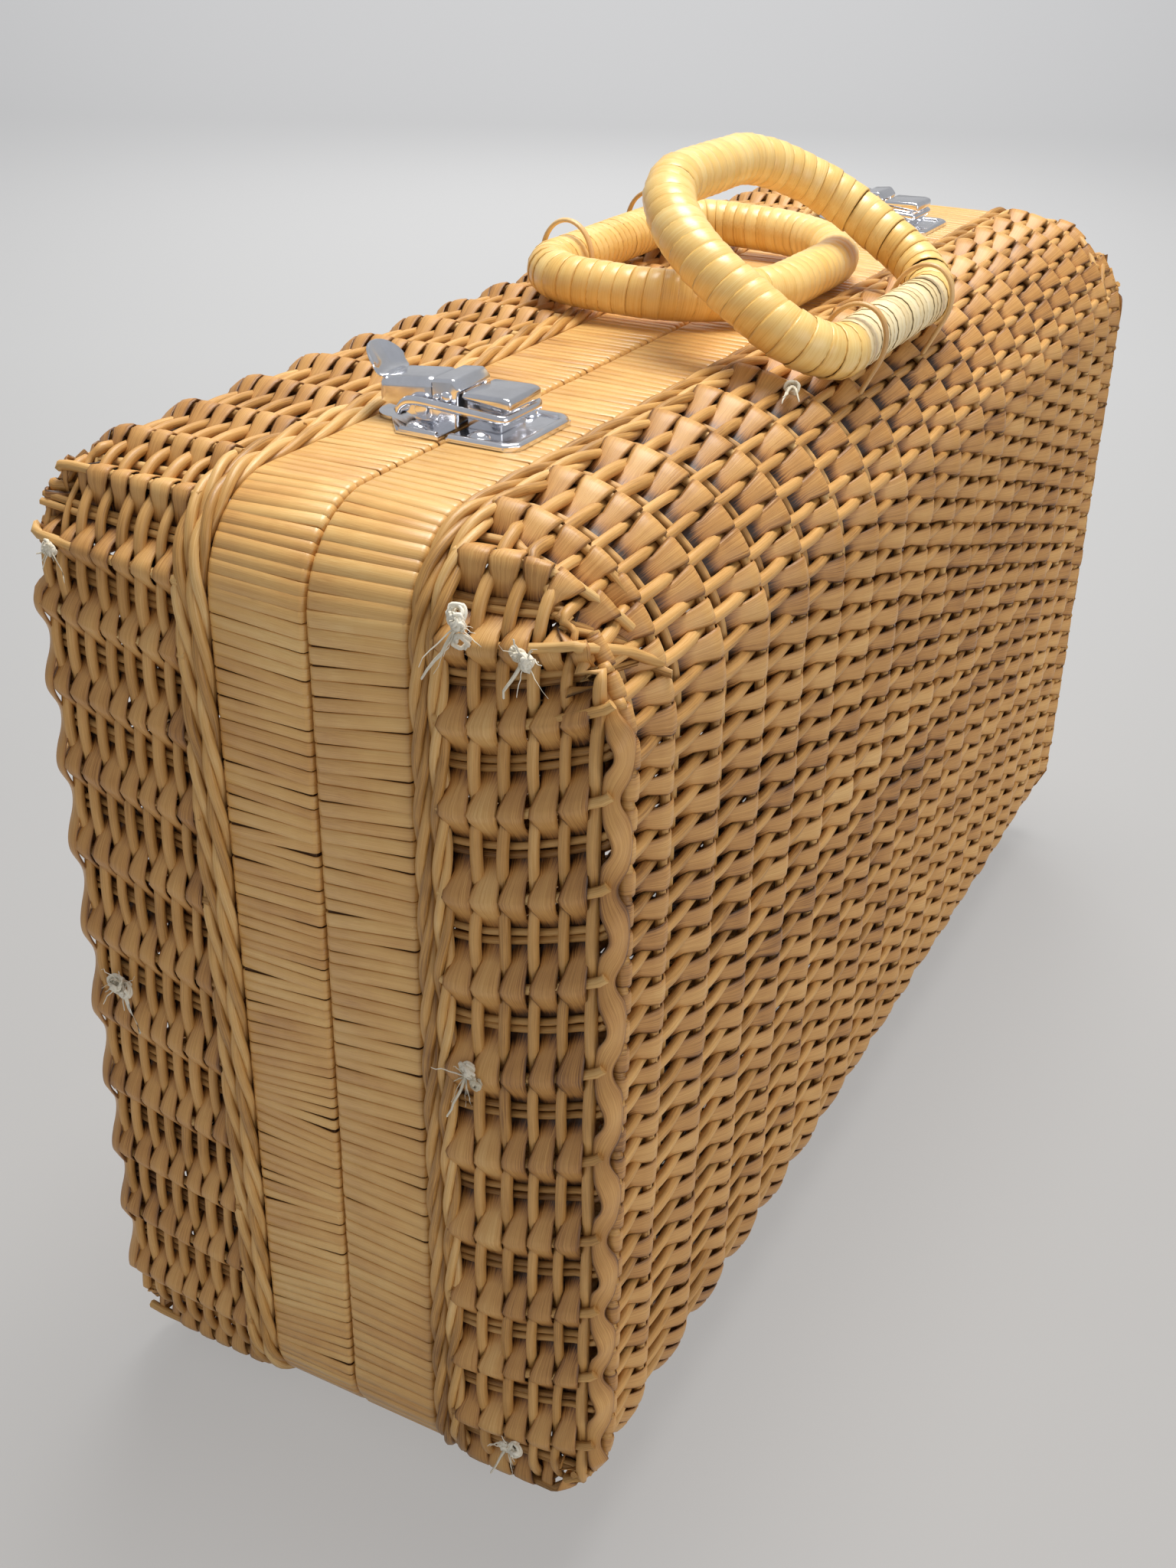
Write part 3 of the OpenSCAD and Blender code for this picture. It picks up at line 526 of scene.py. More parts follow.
def wall_rows(half, kind):
    runs = []
    for k in range(WALL_ROWS[half]):
        w = (k + (FLAT_PLACE if kind == "flat" else REED_PLACE)) * WALL_PITCH[half]
        count = 720
        s = np.linspace(0, LOOP, count, endpoint=False)
        c = np.cos(wall_phase(half, s, w))
        base, n = wall_point(half, s, w + drift(count, 0.25))
        off, girth = weave_offsets(kind, c, count)
        off[:12] += (off[-1] - off[0]) * np.linspace(1, 0, 12)
        corner = 4 * (n[:, 0] * n[:, 2]) ** 2 * np.clip(k + 3 - WALL_ROWS[half], 0, 2) / 2
        off, girth = off - 2.2 * np.sqrt(corner), girth * (1 - 0.65 * np.sqrt(corner))
        # Painted shade: flats darken in the troughs, reeds where they pass under the crest stakes.
        deep, lean, aside = shade(c) if kind == "flat" else shade(-c, -0.3, 0.6), 0.0, 0.0
        if kind == "flat":
            along = np.roll(base, -1, axis=0) - np.roll(base, 1, axis=0)
            along /= np.linalg.norm(along, axis=1, keepdims=True)
            aside = wall_place(half, s, w + 0.6) - wall_place(half, s, w - 0.6)
            aside -= along * np.sum(aside * along, axis=1, keepdims=True)
            aside /= np.linalg.norm(aside, axis=1, keepdims=True)
            lean = -along * (stake_rise(half, s, w + 0.5) - stake_rise(half, s, w - 0.5))[:, None]
        runs.append(Strand(base + n * off[:, None], n, girth, closed=True, deep=deep, lean=lean, aside=aside))
    return runs


def face_end(z):
    """Half the length of the face at a height, inside the rounded corners."""
    over = np.maximum(np.maximum(z - SPINE_TOP, SPINE_LOW - z), 0)
    return SPINE_X + np.sqrt(np.maximum(CORNER ** 2 - over ** 2, 0))


def face_crests(end):
    return np.concatenate([[RIDGE_IN - 1 - end], np.clip(FACE_CRESTS, RIDGE_IN + 3 - end, end - RIDGE_IN - 3),
                           [end - RIDGE_IN + 1]])


def face_levels(half):
    total = float(section(half, np.zeros(1))[4])
    start = wall_depth(half)
    rows = int(round((total - 2 * start) / FACE_PITCH))
    pitch = (total - 2 * start) / rows
    return [start + (k + FLAT_PLACE) * pitch for k in range(rows)], [start + (k + REED_PLACE) * pitch for k in range(rows)]


def ridge_swell(inset, z):
    """The weave stands a little proud where it turns round the upright ridge."""
    level = np.clip(np.minimum(z - 14, HEIGHT - 14 - z) / 22, 0, 1)
    return 0.8 * np.clip(1 - inset / 20, 0, 1) * level


def face_rows(half, kind):
    runs = []
    for t in face_levels(half)[0 if kind == "flat" else 1]:
        count = 236
        y0, z0, _, _, _ = section(half, np.array([t]))
        end = float(face_end(z0)[0])
        x = np.linspace(-end + RIDGE_IN, end - RIDGE_IN, count)
        y, z, ny, nz, _ = section(half, t + drift(count, 0.25))
        stops = face_crests(end)
        c = np.cos(2 * math.pi * np.interp(x, stops, np.arange(len(stops))))
        n = np.stack([0 * x, SIDE[half] * ny, nz], -1)
        off, girth = weave_offsets(kind, c, count)
        base = np.stack([x, SIDE[half] * y, z], -1) + n * ridge_swell(end - np.abs(x), z)[:, None]
        path, up, wide = list(base + n * off[:, None]), list(n), list(girth)
        # Painted shade: darker in the troughs and under the crest stakes, as on the walls.
        dim = shade(c) if kind == "flat" else shade(-c, -0.3, 0.6)
        if kind == "flat" and half == "front" and abs(z0[0] - PALE_ROW) < FACE_PITCH / 2:
            dim = np.where((x > PALE_FROM) & (x < PALE_TO), -0.6, dim)
        # Painted shade at the turns round the ridge.
        dim = np.concatenate([np.full(5, 0.2), dim, np.full(5, 0.2)])
        for sign, first in ((-1, True), (1, False)):
            i = 0 if first else -1
            core = base[i] - n[i] * RIDGE_CORE
            deep = RIDGE_CORE + off[i] if kind == "flat" else 1.4
            turn = []
            for a in (30, 60, 90):
                r = np.radians(a)
                out = n[i] * math.cos(r) + np.array([sign, 0, 0]) * math.sin(r)
                turn.append((core + out * deep, out, wide[i]))
            inward = turn[-1][0] - n[i] * 3.0 - np.array([sign * 2.2, 0, 0])
            turn.append((inward, turn[-1][1], wide[i] * 0.85))
            turn.append((inward - n[i] * 2.0 - np.array([sign * 4.0, 0, 0]), turn[-1][1], wide[i] * 0.6))
            if first:
                path, up, wide = [p for p, _, _ in turn[::-1]] + path, [u for _, u, _ in turn[::-1]] + up, [g for _, _, g in turn[::-1]] + wide
            else:
                path, up, wide = path + [p for p, _, _ in turn], up + [u for _, u, _ in turn], wide + [g for _, _, g in turn]
        runs.append(Strand(path, up, wide, deep=dim))
    return runs


def wall_stakes(half):
    """Stakes that cross the ends and corners, from the border to the ridge."""
    runs = []
    depth = wall_depth(half)
    for first, last in ((1, 4), (5, 8)):
        stops = [s for s in CREST_S if KNOTS[first] + 4 < s < KNOTS[last] - 4]
        mids = [(a + b) / 2 for a, b in zip(stops[:-1], stops[1:])]
        pairs = [s + aside for s in mids for aside in (-1.1, 1.1)]
        straight = (KNOTS[first + 1] - 6, KNOTS[last - 1] + 6)
        crests = [(s, CREST_STAKE, 3.4 if straight[0] < s < straight[1] else 0.4) for s in stops]
        troughs = [(s, TROUGH_STAKE, 5.0 if half == "front" and straight[0] < s < straight[1] else 1.0) for s in pairs]
        for s, off, reach in crests + troughs:
            w = np.linspace(-3.0, depth + reach, 18)
            base, n = wall_point(half, s - stake_rise(half, s, w) + drift(18, 0.2, 6), w)
            inner = off == TROUGH_STAKE
            lift = np.clip((w - depth + 6) / 9, 0, 1) * (2.0 if inner else -0.6)
            # Painted shade on the trough stakes, which lie under the weave.
            runs.append(Strand(base + n * (off + lift)[:, None], n, 0.78 if inner else 1.0, deep=0.3 if inner else 0.0))
    return runs


def face_stakes(half):
    """Stakes that run from the top border over the face to the bottom border."""
    runs = []
    total = float(section(half, np.zeros(1))[4])
    depth = wall_depth(half)
    mids = (FACE_CRESTS[:-1] + FACE_CRESTS[1:]) / 2
    for x0, off in [(x, CREST_STAKE) for x in FACE_CRESTS] + [(x, TROUGH_STAKE) for x in mids]:
        t = np.linspace(-3.0, total + 3.0, 90)
        y, z, ny, nz, _ = section(half, t)
        x = np.clip(x0, -SPINE_X, SPINE_X) + (x0 - np.clip(x0, -SPINE_X, SPINE_X)) * np.clip((t - depth) / 12, 0, 1) + drift(90, 0.25, 8)
        n = np.stack([0 * t, SIDE[half] * ny, nz], -1)
        runs.append(Strand(np.stack([x, SIDE[half] * y, z], -1) + n * off, n, 1.0))
    for sign in (-1, 1):
        s_top = (CREST_S[np.searchsorted(CREST_S, SPINE_X + 1)] + SPINE_X) / 2
        w = np.linspace(-3.0, depth - 6, 12)
        base, n = wall_point(half, np.full(12, s_top), w)
        upper, up_n = base + n * TROUGH_STAKE, n
        t = np.linspace(depth + 14, total - depth - 14, 50)
        y, z, ny, nz, _ = section(half, t)
        x = -(face_end(z) - RIDGE_IN + 1 + STAKE_EDGE) / 2
        face_n = np.stack([0 * t, SIDE[half] * ny, nz], -1)
        middle = np.stack([x, SIDE[half] * y, z], -1) + face_n * TROUGH_STAKE
        lower = upper[::-1] * np.array([1, 1, -1]) + np.array([0, 0, HEIGHT])
        low_n = up_n[::-1] * np.array([1, 1, -1])
        path = np.vstack([upper, middle, lower]) * np.array([-sign, 1, 1])
        runs.append(Strand(path, np.vstack([up_n, face_n, low_n]) * np.array([-sign, 1, 1]), 1.0))
    return runs


def ridge_rods(half):
    """Upright rods at the ends of the face that the face weavers turn round."""
    runs = []
    total = float(section(half, np.zeros(1))[4])
    depth = wall_depth(half)
    for sign in (-1, 1):
        t = np.linspace(depth - 2, total - depth + 2, 60)
        y, z, ny, nz, _ = section(half, t)
        n = np.stack([0 * t, SIDE[half] * ny, nz], -1)
        path = np.stack([sign * (face_end(z) - RIDGE_IN), SIDE[half] * y, z], -1)
        # Painted shade on the ridge rods, which lie under the turning weavers.
        runs.append(Strand(path + n * (ridge_swell(RIDGE_IN + 0 * z, z) - RIDGE_CORE)[:, None], n, 1.3, deep=0.3))
    return runs


def edge_weaver(half):
    """Wide weaver at the upright ridge, over the ends of the crest stakes and out round the face between them."""
    runs = []
    w = (HALF_DEPTH - END_ROUND - SHOULDER) * WALL_PITCH[half] / END_PITCH[half]
    crest, trough, turn = ((0.9, 3.6), (-3.6, -4.2), 58) if half == "front" else ((2.2, 3.0), (-0.9, -5.2), 16)
    for sign in (-1, 1):
        s = np.linspace(KNOTS[2] - 4, KNOTS[3] + 5, 260)
        c = np.cos(wall_phase(half, s, w))
        base, n = wall_point(half, s, w)
        face = np.array([0, SIDE[half], 0])
        off, out = layer(*trough, c), layer(*crest, c)
        a = np.radians(turn * (1 - c) / 2 + 8)[:, None]
        tuck = np.clip(1 - np.minimum(np.arange(260), 259 - np.arange(260)) / 12, 0, 1)
        path = base + n * (off - 5.0 * tuck)[:, None] + face * (out - 5.0 * tuck)[:, None]
        up = n * np.cos(a) + face * np.sin(a)
        flip = np.array([-sign, 1, 1])
        wide = (1.0 - 0.28 * np.maximum(c, 0) + drift(260, 0.04)) * (1 - 0.6 * tuck)
        # Painted light where the weaver swings out round the face.
        runs.append(Strand(path * flip, up * flip, wide, rng.uniform(0.15, 0.35), deep=-0.12 * np.maximum(-c, 0)))
    return runs


BORDER_TURNS = round(LOOP / 42)


def borders(half):
    """Two rows of three-strand twine between each rim and its weave."""
    runs = []
    for y in BORDER_ROWS:
        for k in range(3):
            count = 560
            s = np.linspace(0, LOOP, count, endpoint=False)
            a = 2 * math.pi * (s / LOOP * BORDER_TURNS + k / 3)
            spread = 1.28 + drift(count, 0.12, 12)
            spread[:12] += (spread[-1] - spread[0]) * np.linspace(1, 0, 12)
            base = band_point(s, SIDE[half] * y, BORDER_DEPTH)
            _, _, nx, nz = rim(s)
            n = np.stack([nx, 0 * nx, nz], -1)
            path = base + n * (spread * np.sin(a))[:, None] + np.array([0, SIDE[half], 0]) * (spread * np.cos(a))[:, None]
            runs.append(Strand(path, n, 1.0 + rng.normal(0, 0.05), closed=True))
    return runs


def band_strips(half):
    """Cane turns laid side by side round the hoop of a rim."""
    runs = []
    y0, y1, top, bottom, r = SEAM + 0.4, BAND_W - 0.4, BAND_INSET + 0.4, BAND_IN - 0.4, 1.0
    s = 0.0
    ring, facing = [], []
    for cy, cd, start in ((y1 - r, top + r, 0), (y1 - r, bottom - r, 90), (y0 + r, bottom - r, 180), (y0 + r, top + r, 270)):
        for a in (0, 45, 90):
            q = math.radians(start + a)
            ring.append((cy + r * math.sin(q), cd - r * math.cos(q)))
            facing.append((math.sin(q), -math.cos(q)))
    mid = (y0 + y1) / 2
    ring = np.array([((y0 + y1) / 2, top)] + ring[:6] + [((y0 + y1) / 2, bottom)] + ring[6:])
    facing = np.array([(0, -1)] + facing[:6] + [(0, 1)] + facing[6:])
    widths = []
    while sum(widths) < LOOP:
        widths.append(rng.uniform(3.2, 4.6) if half == "front" else rng.uniform(2.7, 3.9))
    widths = np.array(widths) * LOOP / sum(widths)
    tilt = 0.0
    for width in widths:
        tilt += rng.normal(0, 0.16) - tilt * 0.08
        at = s + width / 2 + tilt * (ring[:, 0] - mid) / mid * 2.2
        base = band_point(at, SIDE[half] * ring[:, 0], ring[:, 1])
        _, _, nx, nz = rim(at)
        up = np.stack([-nx * facing[:, 1], SIDE[half] * facing[:, 0], -nz * facing[:, 1]], -1)
        runs.append(Strand(base, up, (width - 0.03) / 4.0 + rng.normal(0, 0.006), closed=True))
        s += width
    return runs


# Handles

GRIP_R, HANDLE_CORE = 7.6, 6.2
BASE_HALF, BASE_BEND, ARM, SHOULDER_BEND = 35.0, 20.0, 12.0, 38.0
HANDLES = {"front": dict(x=-16.0, y=-58.5, z=287.2344, lean=32.5), "rear": dict(x=16.0, y=49.0, z=293.1, lean=181.88)}


def handle_line():
    """Centre line of a handle in its own plane, from the base bar's end round the grip and back."""
    arm = BASE_HALF + BASE_BEND
    shoulder = arm - SHOULDER_BEND
    high = BASE_BEND + ARM
    pts = []
    for k in range(13):
        a = math.radians(-90 + 90 * k / 12)
        pts.append((BASE_HALF + BASE_BEND * math.cos(a), BASE_BEND + BASE_BEND * math.sin(a)))
    pts += [(arm, BASE_BEND + ARM / 2)]
    for k in range(17):
        a = math.radians(90 * k / 16)
        pts.append((shoulder + SHOULDER_BEND * math.cos(a), high + SHOULDER_BEND * math.sin(a)))
    pts += [(0.0, high + SHOULDER_BEND)]
    pts = np.array(pts)
    return np.vstack([pts, (pts[:-1] * np.array([-1, 1]))[::-1]])


def even(line, count):
    """Points and directions at even steps along a line."""
    step = np.linalg.norm(np.diff(line, axis=0), axis=1)
    at = np.concatenate([[0], np.cumsum(step)])
    u = np.linspace(0, at[-1], count)
    p = np.stack([np.interp(u, at, line[:, i]) for i in range(line.shape[1])], -1)
    d = np.gradient(p, axis=0)
    return p, d / np.linalg.norm(d, axis=1, keepdims=True), at[-1]


def on_handle(half, p, axis=False):
    """From a handle's own plane (u along the bar, v towards the grip, w out of the plane) to the case."""
    h = HANDLES[half]
    a = math.radians(h["lean"])
    u, v, w = p[..., 0], p[..., 1], p[..., 2]
    out = np.stack([u, v * math.cos(a) - w * math.sin(a), v * math.sin(a) + w * math.cos(a)], -1)
    return out if axis else out + np.array([h["x"], h["y"], h["z"]])


def cane_turns(half, line, pitch):
    """Turns of cane round a handle's bar, each lapped a little over the one before."""
    length = even(line, 3)[2]
    count = int(round(length / pitch))
    p, d, _ = even(line, count * 4 + 1)
    runs = []
    around = np.linspace(0, 2 * math.pi, 18, endpoint=False)
    snug = 0.5 if half == "rear" else 1.0
    for k in range(count):
        c, t = p[4 * k + 2], d[4 * k + 2]
        side = np.array([-t[1], t[0]])
        bend = (d[4 * k + 1, 0] * d[4 * k + 3, 1] - d[4 * k + 1, 1] * d[4 * k + 3, 0]) / (length / count / 2)
        skew = 0.8 + rng.normal(0, 0.25 * snug)
        lap = rng.uniform(0.03, 0.09) * snug
        r = GRIP_R - 0.42 + rng.normal(0, 0.07 * snug)
        ring, up, wide = [], [], []
        for a in around:
            out = np.array([side[0] * math.cos(a), side[1] * math.cos(a), math.sin(a)])
            shift = np.array([t[0], t[1], 0]) * skew * math.sin(a + 0.6)
            ring.append(np.array([c[0], c[1], 0]) + out * r + shift)
            up.append(out + np.array([t[0], t[1], 0]) * lap)
            wide.append(1 - bend * GRIP_R * math.cos(a))
        girth = pitch * 0.56 / 3.0 * np.array(wide) * (1 + rng.normal(0, 0.02))
        runs.append(Strand(on_handle(half, np.array(ring)), on_handle(half, np.array(up), True), girth, closed=True))
    return runs


def bar_line():
    return np.array([(-BASE_HALF, 0.0), (0.0, 0.0), (BASE_HALF, 0.0)])


LOOP_SPACING, LOOP_SLACK, LEG, LOOP_RISE = 60.0, 0.9, 13.9, 2.5
TILT = {"front": math.asin((58.5 - 34.0) / 54.1), "rear": 0.0}


def peel_loop(half, end):
    """A thin turn of peel that ties a base bar down through the wall."""
    h, a = HANDLES[half], TILT[half]
    r = GRIP_R + LOOP_SLACK + 0.8
    q = np.radians(np.linspace(-90, 90, 21))
    b = np.concatenate([[-r, -r], r * np.sin(q), [r, r]])
    c = np.concatenate([[-LEG, -LEG / 2], (r + LOOP_RISE) * np.cos(q), [-LEG / 2, -LEG]])
    x = h["x"] + end * LOOP_SPACING / 2 + np.linspace(-1.0, 1.3, len(b))
    out = np.stack([b, np.maximum(c, 0)], 1)
    out /= np.linalg.norm(out, axis=1, keepdims=True)
    path = np.stack([x, h["y"] + b * math.cos(a) - c * math.sin(a), h["z"] + b * math.sin(a) + c * math.cos(a)], 1)
    up = np.stack([0 * b, out[:, 0] * math.cos(a) - out[:, 1] * math.sin(a),
                   out[:, 0] * math.sin(a) + out[:, 1] * math.cos(a)], 1)
    return [Strand(path, up, 1.0)]


# Cotton ties

FRONT_TIES = [(41, 266, 1.5), (57, 262, 1.2), (41, 150, 1.35), (52, 30, 1.2)]
REAR_TIES = [(66, 140, 1.6), (70, 262, 0.9)]
TOP_TIE, TOP_TIE_SIZE = (-78.0, -54.0, 282.2), 1.2


def whisker(start, heading, length, droop, thick):
    t = np.linspace(0, 1, 8)
    curl = np.cumsum(rng.normal(0, 0.35, (8, 3)), axis=0) * 0.12 * length
    path = start + heading * (t * length)[:, None] + curl * t[:, None] - np.array([0, 0, droop * length]) * (t ** 2)[:, None]
    return Strand(path, (0.3, 0.5, 0.8), thick * (1.05 - 0.6 * t))


def tangle(middle, size):
    """A loose knot: thread that wanders round a small ball."""
    steps = 26
    a = np.cumsum(rng.uniform(0.9, 1.5, steps))
    b = np.cumsum(rng.uniform(0.3, 0.9, steps))
    ball = np.stack([0.7 * np.cos(b), np.sin(a) * np.sin(b), np.cos(a) * np.sin(b)], 1)
    path = middle + ball * size * rng.uniform(0.75, 1.1, (steps, 1))
    fine = np.linspace(0, steps - 1, 90)
    path = np.stack([np.interp(fine, np.arange(steps), path[:, i]) for i in range(3)], 1)
    path[1:-1] = (path[:-2] + 2 * path[1:-1] + path[2:]) / 4
    return Strand(path, (0.8, 0.4, 0.3), 1.7)


def ties(half):
    """Knots of white thread on the near end wall, each with frayed ends."""
    runs = []
    for y, z, size in FRONT_TIES if half == "front" else REAR_TIES:
        middle = np.array([-HALF_LEN + 0.2, SIDE[half] * y, float(z)])
        for shift in rng.normal(0, 1.1 * size, (3, 3)):
            runs.append(tangle(middle + shift * np.array([0.3, 1.0, 1.0]), 1.7 * size))
        for _ in range(int(8 * size)):
            side = rng.uniform(-math.pi, math.pi)
            heading = np.array([-rng.uniform(0.2, 0.7), math.cos(side), math.sin(side)])
            heading /= np.linalg.norm(heading)
            runs.append(whisker(middle, heading, rng.uniform(2.5, 6.5) * size, rng.uniform(0, 0.4), rng.uniform(0.5, 1.1)))
        heading = np.array([-0.3, -SIDE[half] * rng.uniform(0.2, 0.9), -0.8])
        runs.append(whisker(middle, heading, 7 * size, 0.3, 2.3))
    if half == "front":
        middle = np.array(TOP_TIE)
        runs.append(tangle(middle, 1.9 * TOP_TIE_SIZE))
        for turn in (-178, -166, -150):
            heading = np.array([math.cos(math.radians(turn)), math.sin(math.radians(turn)), 0.25])
            runs.append(whisker(middle, heading, 7.0 * TOP_TIE_SIZE, 0.3, 1.8))
    return runs


# Pieces

for half in ("rear", "front"):
    body, handle = half + "_shell", half + "_handle"
    front = half == "front"
    flat_w, reed_r = (FLAT_W, REED_R) if front else (2.4, 1.4)
    strands(half + "_wall_flats", wall_rows(half, "flat"), flat_w, FLAT_T, FLAT, body, (half + "_basket",), square=0.8)
    strands(half + "_wall_reeds", wall_rows(half, "reed"), reed_r, reed_r, REED, body)
    strands(half + "_face_flats", face_rows(half, "flat"), FLAT_W, FLAT_T, FLAT, body, square=0.8)
    strands(half + "_face_reeds", face_rows(half, "reed"), REED_R, REED_R, REED, body)
    strands(half + "_stakes", wall_stakes(half) + face_stakes(half) + ridge_rods(half), STAKE_R, STAKE_R, STAKE, body, sides=6)
    strands(half + "_edge_weaver", edge_weaver(half), 3.0 if front else 2.3, 0.55, FLAT, body, square=0.8)
    strands(half + "_border_reeds", borders(half), 1.3, 1.3, BORDER, body, (half + "_border",))
    strands(half + "_rim_strips", band_strips(half), 2.0, 0.4, CANE, body, (half + "_rim_wrap",), square=0.38)
    strands(half + "_handle_cane", cane_turns(half, handle_line(), 4.9 if front else 4.3), 3.0, 0.36, GRIP, handle,
            (half + "_handle_wrap",), square=0.6)
    strands(half + "_base_cane", cane_turns(half, bar_line(), 3.3), 3.0, 0.36, BASE_CANE if front else GRIP, handle,
            (half + "_handle_base_wrap",), square=0.6)
    for end, sign in (("near", -1), ("far", 1)):
        strands(f"{half}_{end}_peel", peel_loop(half, sign), 1.15, 0.75, PEEL, body, (f"{half}_handle_{end}_loop",))
    strands(half + "_cotton_ties", ties(half), 0.3, 0.3, COTTON, body, (half + "_thread_ties",), sides=5)


def pressed(name, finish, edge):
    """A metal sub-part with its edges rolled over a little."""
    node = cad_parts[name]
    mesh = node.data.copy()
    mesh.transform(node.matrix_world)
    solid = bmesh.new()
    solid.from_mesh(mesh)
    bmesh.ops.remove_doubles(solid, verts=solid.verts, dist=1e-6)
    bmesh.ops.dissolve_limit(solid, angle_limit=math.radians(1), verts=solid.verts, edges=solid.edges)
    solid.to_mesh(mesh)
    solid.free()
    mesh.materials.clear()
    mesh.materials.append(finish)
    holder = bpy.data.objects.new(name + "_holder", mesh)
    scene.collection.objects.link(holder)
    roll = holder.modifiers.new("Rolled edge", "BEVEL")
    roll.width, roll.segments, roll.limit_method, roll.angle_limit = edge * MM, 3, "ANGLE", math.radians(32)
    piece = settle(name.replace("latch", "chrome").replace("hinge", "steel"), holder)
    piece.data.shade_smooth()
    piece.data.set_sharp_from_angle(angle=math.radians(40))
    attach(piece, node.get("body") or BODY_OF[name])
    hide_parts(name)
    return piece


BODY_OF = {}
for end in ("near", "far"):
    for part, body in (("plate", "rear_shell"), ("plate_rivets", "rear_shell"), ("pin", "rear_shell"),
                       ("keeper_rivets", "front_shell")):
        BODY_OF[f"{end}_latch_{part}"] = body
    for part, body in (("rear_leaf", "rear_shell"), ("front_leaf", "front_shell"), ("pin", "rear_shell")):
        BODY_OF[f"{end}_hinge_{part}"] = body
BODY_OF["hinge_rear_rivets"], BODY_OF["hinge_front_rivets"] = "rear_shell", "front_shell"

# Latch, in millimetres: heights over the band, depths from the seam towards the rear
BAND_TOP = HEIGHT - BAND_INSET
PLATE_T, PLATE_HALF, KEEPER_LEN, KEEPER_CUT = 1.0, 15.5, 20.0, 3.0
LEVER_HALF, LEVER_ROLL, LEVER_SHEET = 6.9, 2.6, 1.0
LEVER_SIDE = [(7.5, 3.6), (7.5, 12.3), (23.8, 10.6), (23.8, 4.9), (18.5, 4.0), (14.0, 2.4), (10.5, 1.6), (8.4, 2.1)]
NOSE_HALF, NOSE_SHEET = 7.7, 0.6
NOSE_SIDE = [(0.3, 0.9), (0.3, 9.2), (-0.7, 10.3), (1.5, 12.9), (7.2, 12.3), (7.2, 0.9)]
KNOBS = [(3.2, 8.3, 1.5), (5.9, 8.0, 0.9)]
TAB_ROOT, TAB_FOOT, TAB_R, TAB_NECK, TAB_REACH, TAB_TURN = 20.4, 10.8, 6.9, 6.4, 11.6, 54.0
HOOK = [(-14.5, 6.9), (-14.5, 9.9), (-12.4, 10.4), (-0.9, 10.1), (-0.9, 8.3)]
DOMES = {"keeper": (11.5, -8.2, 2.8), "nose": (11.5, 9.9, 2.3)}
HOOK_HALF = 7.9
BLOCK = [(-11.0, 0.9), (-11.0, 8.3), (-1.5, 8.3), (-1.5, 0.9)]
BLOCK_HALF = 6.0
BAIL_LINE = [(16.4, 3.5), (15.2, 5.6), (12.6, 7.0), (4.0, 6.5), (-11.4, 5.5)]
BAIL_HALF, BAIL_FRONT, BAIL_BEND = 9.4, (-13.8, 5.35), 2.4


def latch_middle(end):
    low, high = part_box(end + "_latch_keeper")
    return (low[0] + high[0]) / 2 / MM


def side_prism(solid, outline, half_width, x, opens=()):
    """A prism across the latch from a side view, without the faces that look an open way, and its other edges."""
    rings = [[solid.verts.new((x + side * half_width, y, z)) for y, z in outline] for side in (-1, 1)]
    faces = [solid.faces.new(rings[0]), solid.faces.new(rings[1][::-1])]
    count = len(outline)
    for k in range(count):
        j = (k + 1) % count
        faces.append(solid.faces.new((rings[0][j], rings[0][k], rings[1][k], rings[1][j])))
    bmesh.ops.recalc_face_normals(solid, faces=faces)
    away = [f for f in faces if any(f.normal.dot(Vector(way)) > least for way, least in opens)]
    rims = {e for f in away for e in f.edges}
    rolled = [e for f in faces for e in f.edges if e not in rims]
    if away:
        bmesh.ops.delete(solid, geom=away, context="FACES_ONLY")
    return list(set(rolled))


def metal_piece(name, solid, finish, body, replaced, sheet=0.0, smooth=0):
    """Makes a metal piece from a mesh in millimetres, with a sheet's thickness where it is a shell."""
    mesh = bpy.data.meshes.new(name)
    solid.transform(Matrix.Scale(MM, 4))
    solid.to_mesh(mesh)
    solid.free()
    mesh.materials.append(finish)
    holder = bpy.data.objects.new(name + "_holder", mesh)
    scene.collection.objects.link(holder)
    if sheet:
        wall = holder.modifiers.new("Sheet", "SOLIDIFY")
        wall.thickness, wall.offset = sheet * MM, -1.0
    if smooth:
        fine = holder.modifiers.new("Smooth", "SUBSURF")
        fine.levels = fine.render_levels = smooth
    piece = settle(name, holder)
    piece.data.shade_smooth()
    piece.data.set_sharp_from_angle(angle=math.radians(38))
    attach(piece, body)
    if replaced:
        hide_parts(replaced)
    return piece


def lever_channel(end):
    """The lever's inverted channel, rolled along its top edges."""
    solid = bmesh.new()
    outline = [(y, BAND_TOP + z) for y, z in LEVER_SIDE]
    rolled = side_prism(solid, outline, LEVER_HALF, latch_middle(end), (((0, 0, -1), 0.3),))
    bmesh.ops.bevel(solid, geom=rolled, offset=LEVER_ROLL, segments=6, profile=0.5, affect="EDGES")
    return solid


def knob(solid, end, y, z, r, aside, flat=(0.5, 1, 1)):
    """A round pin head or rivet dome on each side of the latch."""
    for side in (-1, 1):
        made = bmesh.ops.create_uvsphere(solid, u_segments=20, v_segments=12, radius=r)["verts"]
        bmesh.ops.scale(solid, vec=flat, verts=made)
        bmesh.ops.translate(solid, vec=(latch_middle(end) + side * aside, y, BAND_TOP + z), verts=made)


def dome(solid, end, which):
    """The large rivet heads on a latch sheet."""
    aside, y, r = DOMES[which]
    knob(solid, end, y, PLATE_T - 0.1, r, aside, (1, 1, 0.72))


def lever_nose(end):
    """The fixed hollow cap in front of the lever, which dips into it as it turns up."""
    solid = bmesh.new()
    outline = [(y, BAND_TOP + z) for y, z in NOSE_SIDE]
    edges = side_prism(solid, outline, NOSE_HALF, latch_middle(end), (((0, 0, -1), 0.9), ((0, 1, 0), 0.9)))
    bmesh.ops.bevel(solid, geom=edges, offset=0.9, segments=4, profile=0.5, affect="EDGES")
    for place in KNOBS:
        knob(solid, end, *place, NOSE_HALF + 0.3)
    dome(solid, end, "nose")
    return solid


